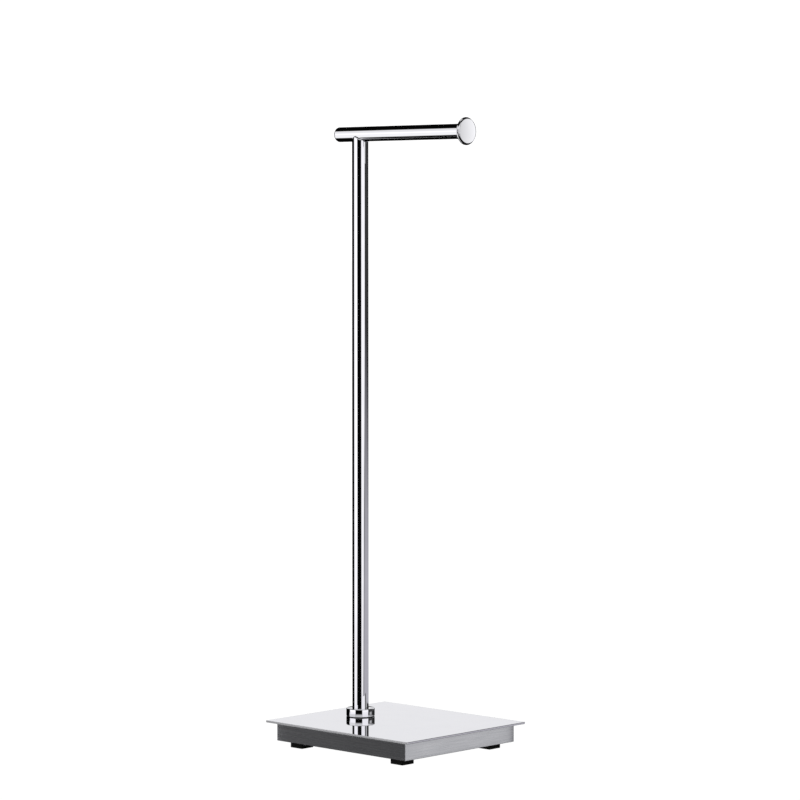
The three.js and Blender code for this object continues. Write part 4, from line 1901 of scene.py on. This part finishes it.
@dataclass
class Studio:
    """A pale floor, soft light from all round, and panels for the polished metal to mirror."""

    camera_azimuth: float = 43.607
    camera_distance: float = 3.0128
    camera_height: float = 0.5092
    camera_pitch: float = 3.211
    lens: float = 139.83
    shift: float = 0.0058
    floor_size: float = 60.0
    floor_grain: float = 40.0
    floor_glow: float = 1.04
    floor_share: float = 0.05
    open_level: float = 1.12
    dark_level: float = 0.002
    panels: tuple[Panel, ...] = (
        Panel(-92, -41, -6.5, 12, level=1.45, tint="#fefdff", edge=2),
        Panel(-92, -46, -8.5, 12, level=1.4, tint="#fefdff", edge=2),
        Panel(-94, -51, -15, 12, level=1.3, tint="#fefdff"),
        Panel(-101, -41, 8, 33, level=1.1),
        Panel(-117, -51, -36.5, -12, level=1.25),
        Panel(-96, -41, -80, -16, level=1.3),
        Panel(17, 66, -4.8, 20, level=1.35, tint="#fefdff", edge=2),
        Panel(20, 56, -6.5, 20, level=1.35, tint="#fefdff", edge=2),
        Panel(18, 49, -8.5, 20, level=1.3, tint="#fefdff", edge=2),
        Panel(15, 36, -22, 20, level=1.25, tint="#fefdff", edge=2),
        Panel(69, 180, -14, -4.9, level=0.62, tint="#f3f1fa", edge=2.5),
        Panel(55, 180, -14, -6.6, level=0.62, tint="#f3f1fa", edge=1.5),
        Panel(47, 180, -14, -8.4, level=0.62, tint="#f3f1fa", edge=1.5),
        Panel(80, 104, 6, 13, level=0.6, edge=2),
        Panel(69, 135, -6, 12, level=0.05),
        Panel(176, 180, 6.5, 13, level=0.95, tint="#fdfdff", edge=1.5),
        Panel(-180, -176, 6.5, 13, level=0.95, tint="#fdfdff", edge=1.5),
        Panel(-41, 62, 12, 33, level=0.85),
        Panel(60, 172, 14, 24, level=0.85),
        Panel(-180, 180, 75, 90, level=1.05, edge=5),
    )
    cards: tuple[Card, ...] = (
        Card("card_front_of_tray", (0.0, -0.083, 0.012), (0.186, 0.0215), (0, 1, 0), (0.10, 0.135)),
        Card("card_front_of_plate", (-0.001, -0.0855, 0.0243), (0.192, 0.0026), (0, 1, 0), (0.42, 0.42)),
        Card("card_beside_tray", (0.094, 0.0, 0.0135), (0.164, 0.0185), (-1, 0, 0), (0.88, 0.88)),
        Card("card_behind_tray", (0.0, 0.083, 0.012), (0.186, 0.0215), (0, -1, 0), (0.4, 0.4)),
        Card("card_left_of_tray", (-0.094, 0.0, 0.0135), (0.164, 0.0185), (1, 0, 0), (0.7, 0.7)),
        Card("card_by_stop", (0.157, 0.065, 0.601), (0.07, 0.07), (-0.688, -0.725, 0.0), (1.45, 0.75)),
    )

    def panel_light(
        self,
        tree: bpy.types.NodeTree,
        bearing: bpy.types.NodeSocket,
        elevation: bpy.types.NodeSocket,
        panel: Panel,
    ) -> bpy.types.NodeSocket:
        """Adds one panel's light as a colour.

        Args:
            tree: The world's tree.
            bearing: Bearing of a direction.
            elevation: Its elevation.
            panel: The panel.

        Returns:
            The colour that the panel gives in that direction.
        """
        sides = (
            (bearing, panel.first, -180.0, 0.0),
            (bearing, panel.last, 180.0, 1.0),
            (elevation, panel.low, -90.0, 0.0),
            (elevation, panel.high, 90.0, 1.0),
        )
        mask: Any = 1.0
        for angle, at, open_end, before in sides:
            if at == open_end:
                continue
            ends = {"Value": angle, "From Min": at - panel.edge, "From Max": at + panel.edge}
            ends.update({"To Min": before, "To Max": 1.0 - before})
            step = add(tree, "ShaderNodeMapRange", {"interpolation_type": "SMOOTHSTEP"}, ends)
            mask = add(tree, "ShaderNodeMath", "MULTIPLY", (mask, step))
        colour = tuple(panel.level * c for c in linear(panel.tint)[:3])
        return add(tree, "ShaderNodeVectorMath", "SCALE", {"Vector": colour, "Scale": mask})

    def build_world(self) -> None:
        """Makes the world: even light for dull surfaces, and panels for what metal mirrors."""
        world = bpy.data.worlds.new("studio")
        world.use_nodes = True
        bpy.context.scene.world = world
        tree = world.node_tree
        tree.nodes.clear()
        direction = add(tree, "ShaderNodeTexCoord", output="Generated")
        parts = add(tree, "ShaderNodeSeparateXYZ", None, {"Vector": direction}).node.outputs
        towards = add(tree, "ShaderNodeMath", "MULTIPLY", (parts["Y"], -1.0))
        azimuth = add(tree, "ShaderNodeMath", "ARCTAN2", (parts["X"], towards))
        degrees = add(tree, "ShaderNodeMath", "DEGREES", (azimuth,))
        offset = add(tree, "ShaderNodeMath", "SUBTRACT", (degrees, self.camera_azimuth))
        bearing = add(tree, "ShaderNodeMath", "WRAP", (offset, -180.0, 180.0))
        lift = add(tree, "ShaderNodeMath", "ARCSINE", (parts["Z"],))
        elevation = add(tree, "ShaderNodeMath", "DEGREES", (lift,))
        total = add(tree, "ShaderNodeCombineXYZ", None, (self.dark_level,) * 3)
        for panel in self.panels:
            light = self.panel_light(tree, bearing, elevation, panel)
            total = add(tree, "ShaderNodeVectorMath", "MAXIMUM", (total, light))
        mirrored = add(tree, "ShaderNodeLightPath", output="Is Glossy Ray")
        open_light = (self.open_level,) * 3 + (1.0,)
        inputs = {"Factor": mirrored, MIX_A: open_light, MIX_B: total}
        seen = add(tree, "ShaderNodeMix", {"data_type": "RGBA"}, inputs, MIX_RESULT)
        background = add(tree, "ShaderNodeBackground", None, {"Color": seen, "Strength": 1.0})
        add(tree, "ShaderNodeOutputWorld", None, {"Surface": background})

    def build_floor(self) -> None:
        """Makes the floor, which is seen from above only and isn't mirrored."""
        mesh = rectangle("floor", self.floor_size, self.floor_size)
        floor = new_object("floor", mesh)
        material, tree = blank_material("matt_white_board")
        place = add(tree, "ShaderNodeTexCoord", output="Object")
        grain = add(tree, "ShaderNodeTexNoise", None, {"Vector": place, "Scale": self.floor_grain})
        share = add(tree, "ShaderNodeMapRange", None, {"Value": grain, "To Max": self.floor_share})
        board = add(tree, "ShaderNodeBsdfDiffuse", None, {"Color": linear("#ffffff")})
        glow = add(tree, "ShaderNodeEmission", None, {"Strength": self.floor_glow})
        lit = add(tree, "ShaderNodeMixShader", None, {"Fac": share, 1: glow, 2: board})
        clear = add(tree, "ShaderNodeBsdfTransparent")
        below = add(tree, "ShaderNodeNewGeometry", output="Backfacing")
        surface = add(tree, "ShaderNodeMixShader", None, {"Fac": below, 1: lit, 2: clear})
        add(tree, "ShaderNodeOutputMaterial", None, {"Surface": surface})
        mesh.materials.append(material)
        floor.visible_glossy = False

    def build_card(self, card: Card) -> None:
        """Makes a card that only reflections see.

        Args:
            card: The card's place, size and glow.
        """
        mesh = rectangle(card.name, *card.size)
        turn = Vector(card.facing).to_track_quat("Z", "Y").to_matrix().to_4x4()
        mesh.transform(Matrix.Translation(card.centre) @ turn)
        left, right = card.glow
        mesh.attributes.new("glow", "FLOAT", "POINT").data.foreach_set("value", (left, right, right, left))
        made = new_object(card.name, mesh)
        material, tree = blank_material(card.name)
        level = add(tree, "ShaderNodeAttribute", {"attribute_name": "glow"}, output="Fac")
        glow = add(tree, "ShaderNodeEmission", None, {"Strength": level})
        add(tree, "ShaderNodeOutputMaterial", None, {"Surface": glow})
        mesh.materials.append(material)
        made.visible_camera = False
        made.visible_diffuse = False
        made.visible_shadow = False

    def build_camera(self) -> None:
        """Makes the camera."""
        angle = math.radians(self.camera_azimuth)
        back = Vector((math.sin(angle), -math.cos(angle), 0.0))
        data = bpy.data.cameras.new("camera")
        data.lens = self.lens
        data.shift_x = self.shift
        data.clip_end = 100.0
        camera = bpy.data.objects.new("camera", data)
        camera.location = back * self.camera_distance + Vector((0.0, 0.0, self.camera_height))
        pitch = math.radians(90.0 - self.camera_pitch)
        camera.rotation_euler = (pitch, 0.0, angle)
        bpy.context.scene.collection.objects.link(camera)
        bpy.context.scene.camera = camera

    def build(self) -> None:
        """Makes the whole studio."""
        bpy.context.scene.view_settings.view_transform = "Standard"
        self.build_world()
        self.build_floor()
        for card in self.cards:
            self.build_card(card)
        self.build_camera()


# --------------------------------------------------------------------------------------------
# The whole
# --------------------------------------------------------------------------------------------


def main() -> None:
    """Builds the holder piece by piece round the frame, and the studio round the holder."""
    logging.basicConfig(level=logging.INFO, format="%(name)s: %(message)s")
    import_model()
    workshop = Workshop()
    assemblies = (
        Studio(),
        TopPlate(),
        Tray(),
        BaseInside(),
        RubberFeet(),
        FootFasteners(workshop),
        PlateStuds(workshop),
        ClampBolt(workshop),
        Post(workshop),
        Arm(workshop),
    )
    for assembly in assemblies:
        LOG.info("building %s", type(assembly).__name__)
        assembly.build()


if __name__ == "__main__":
    main()
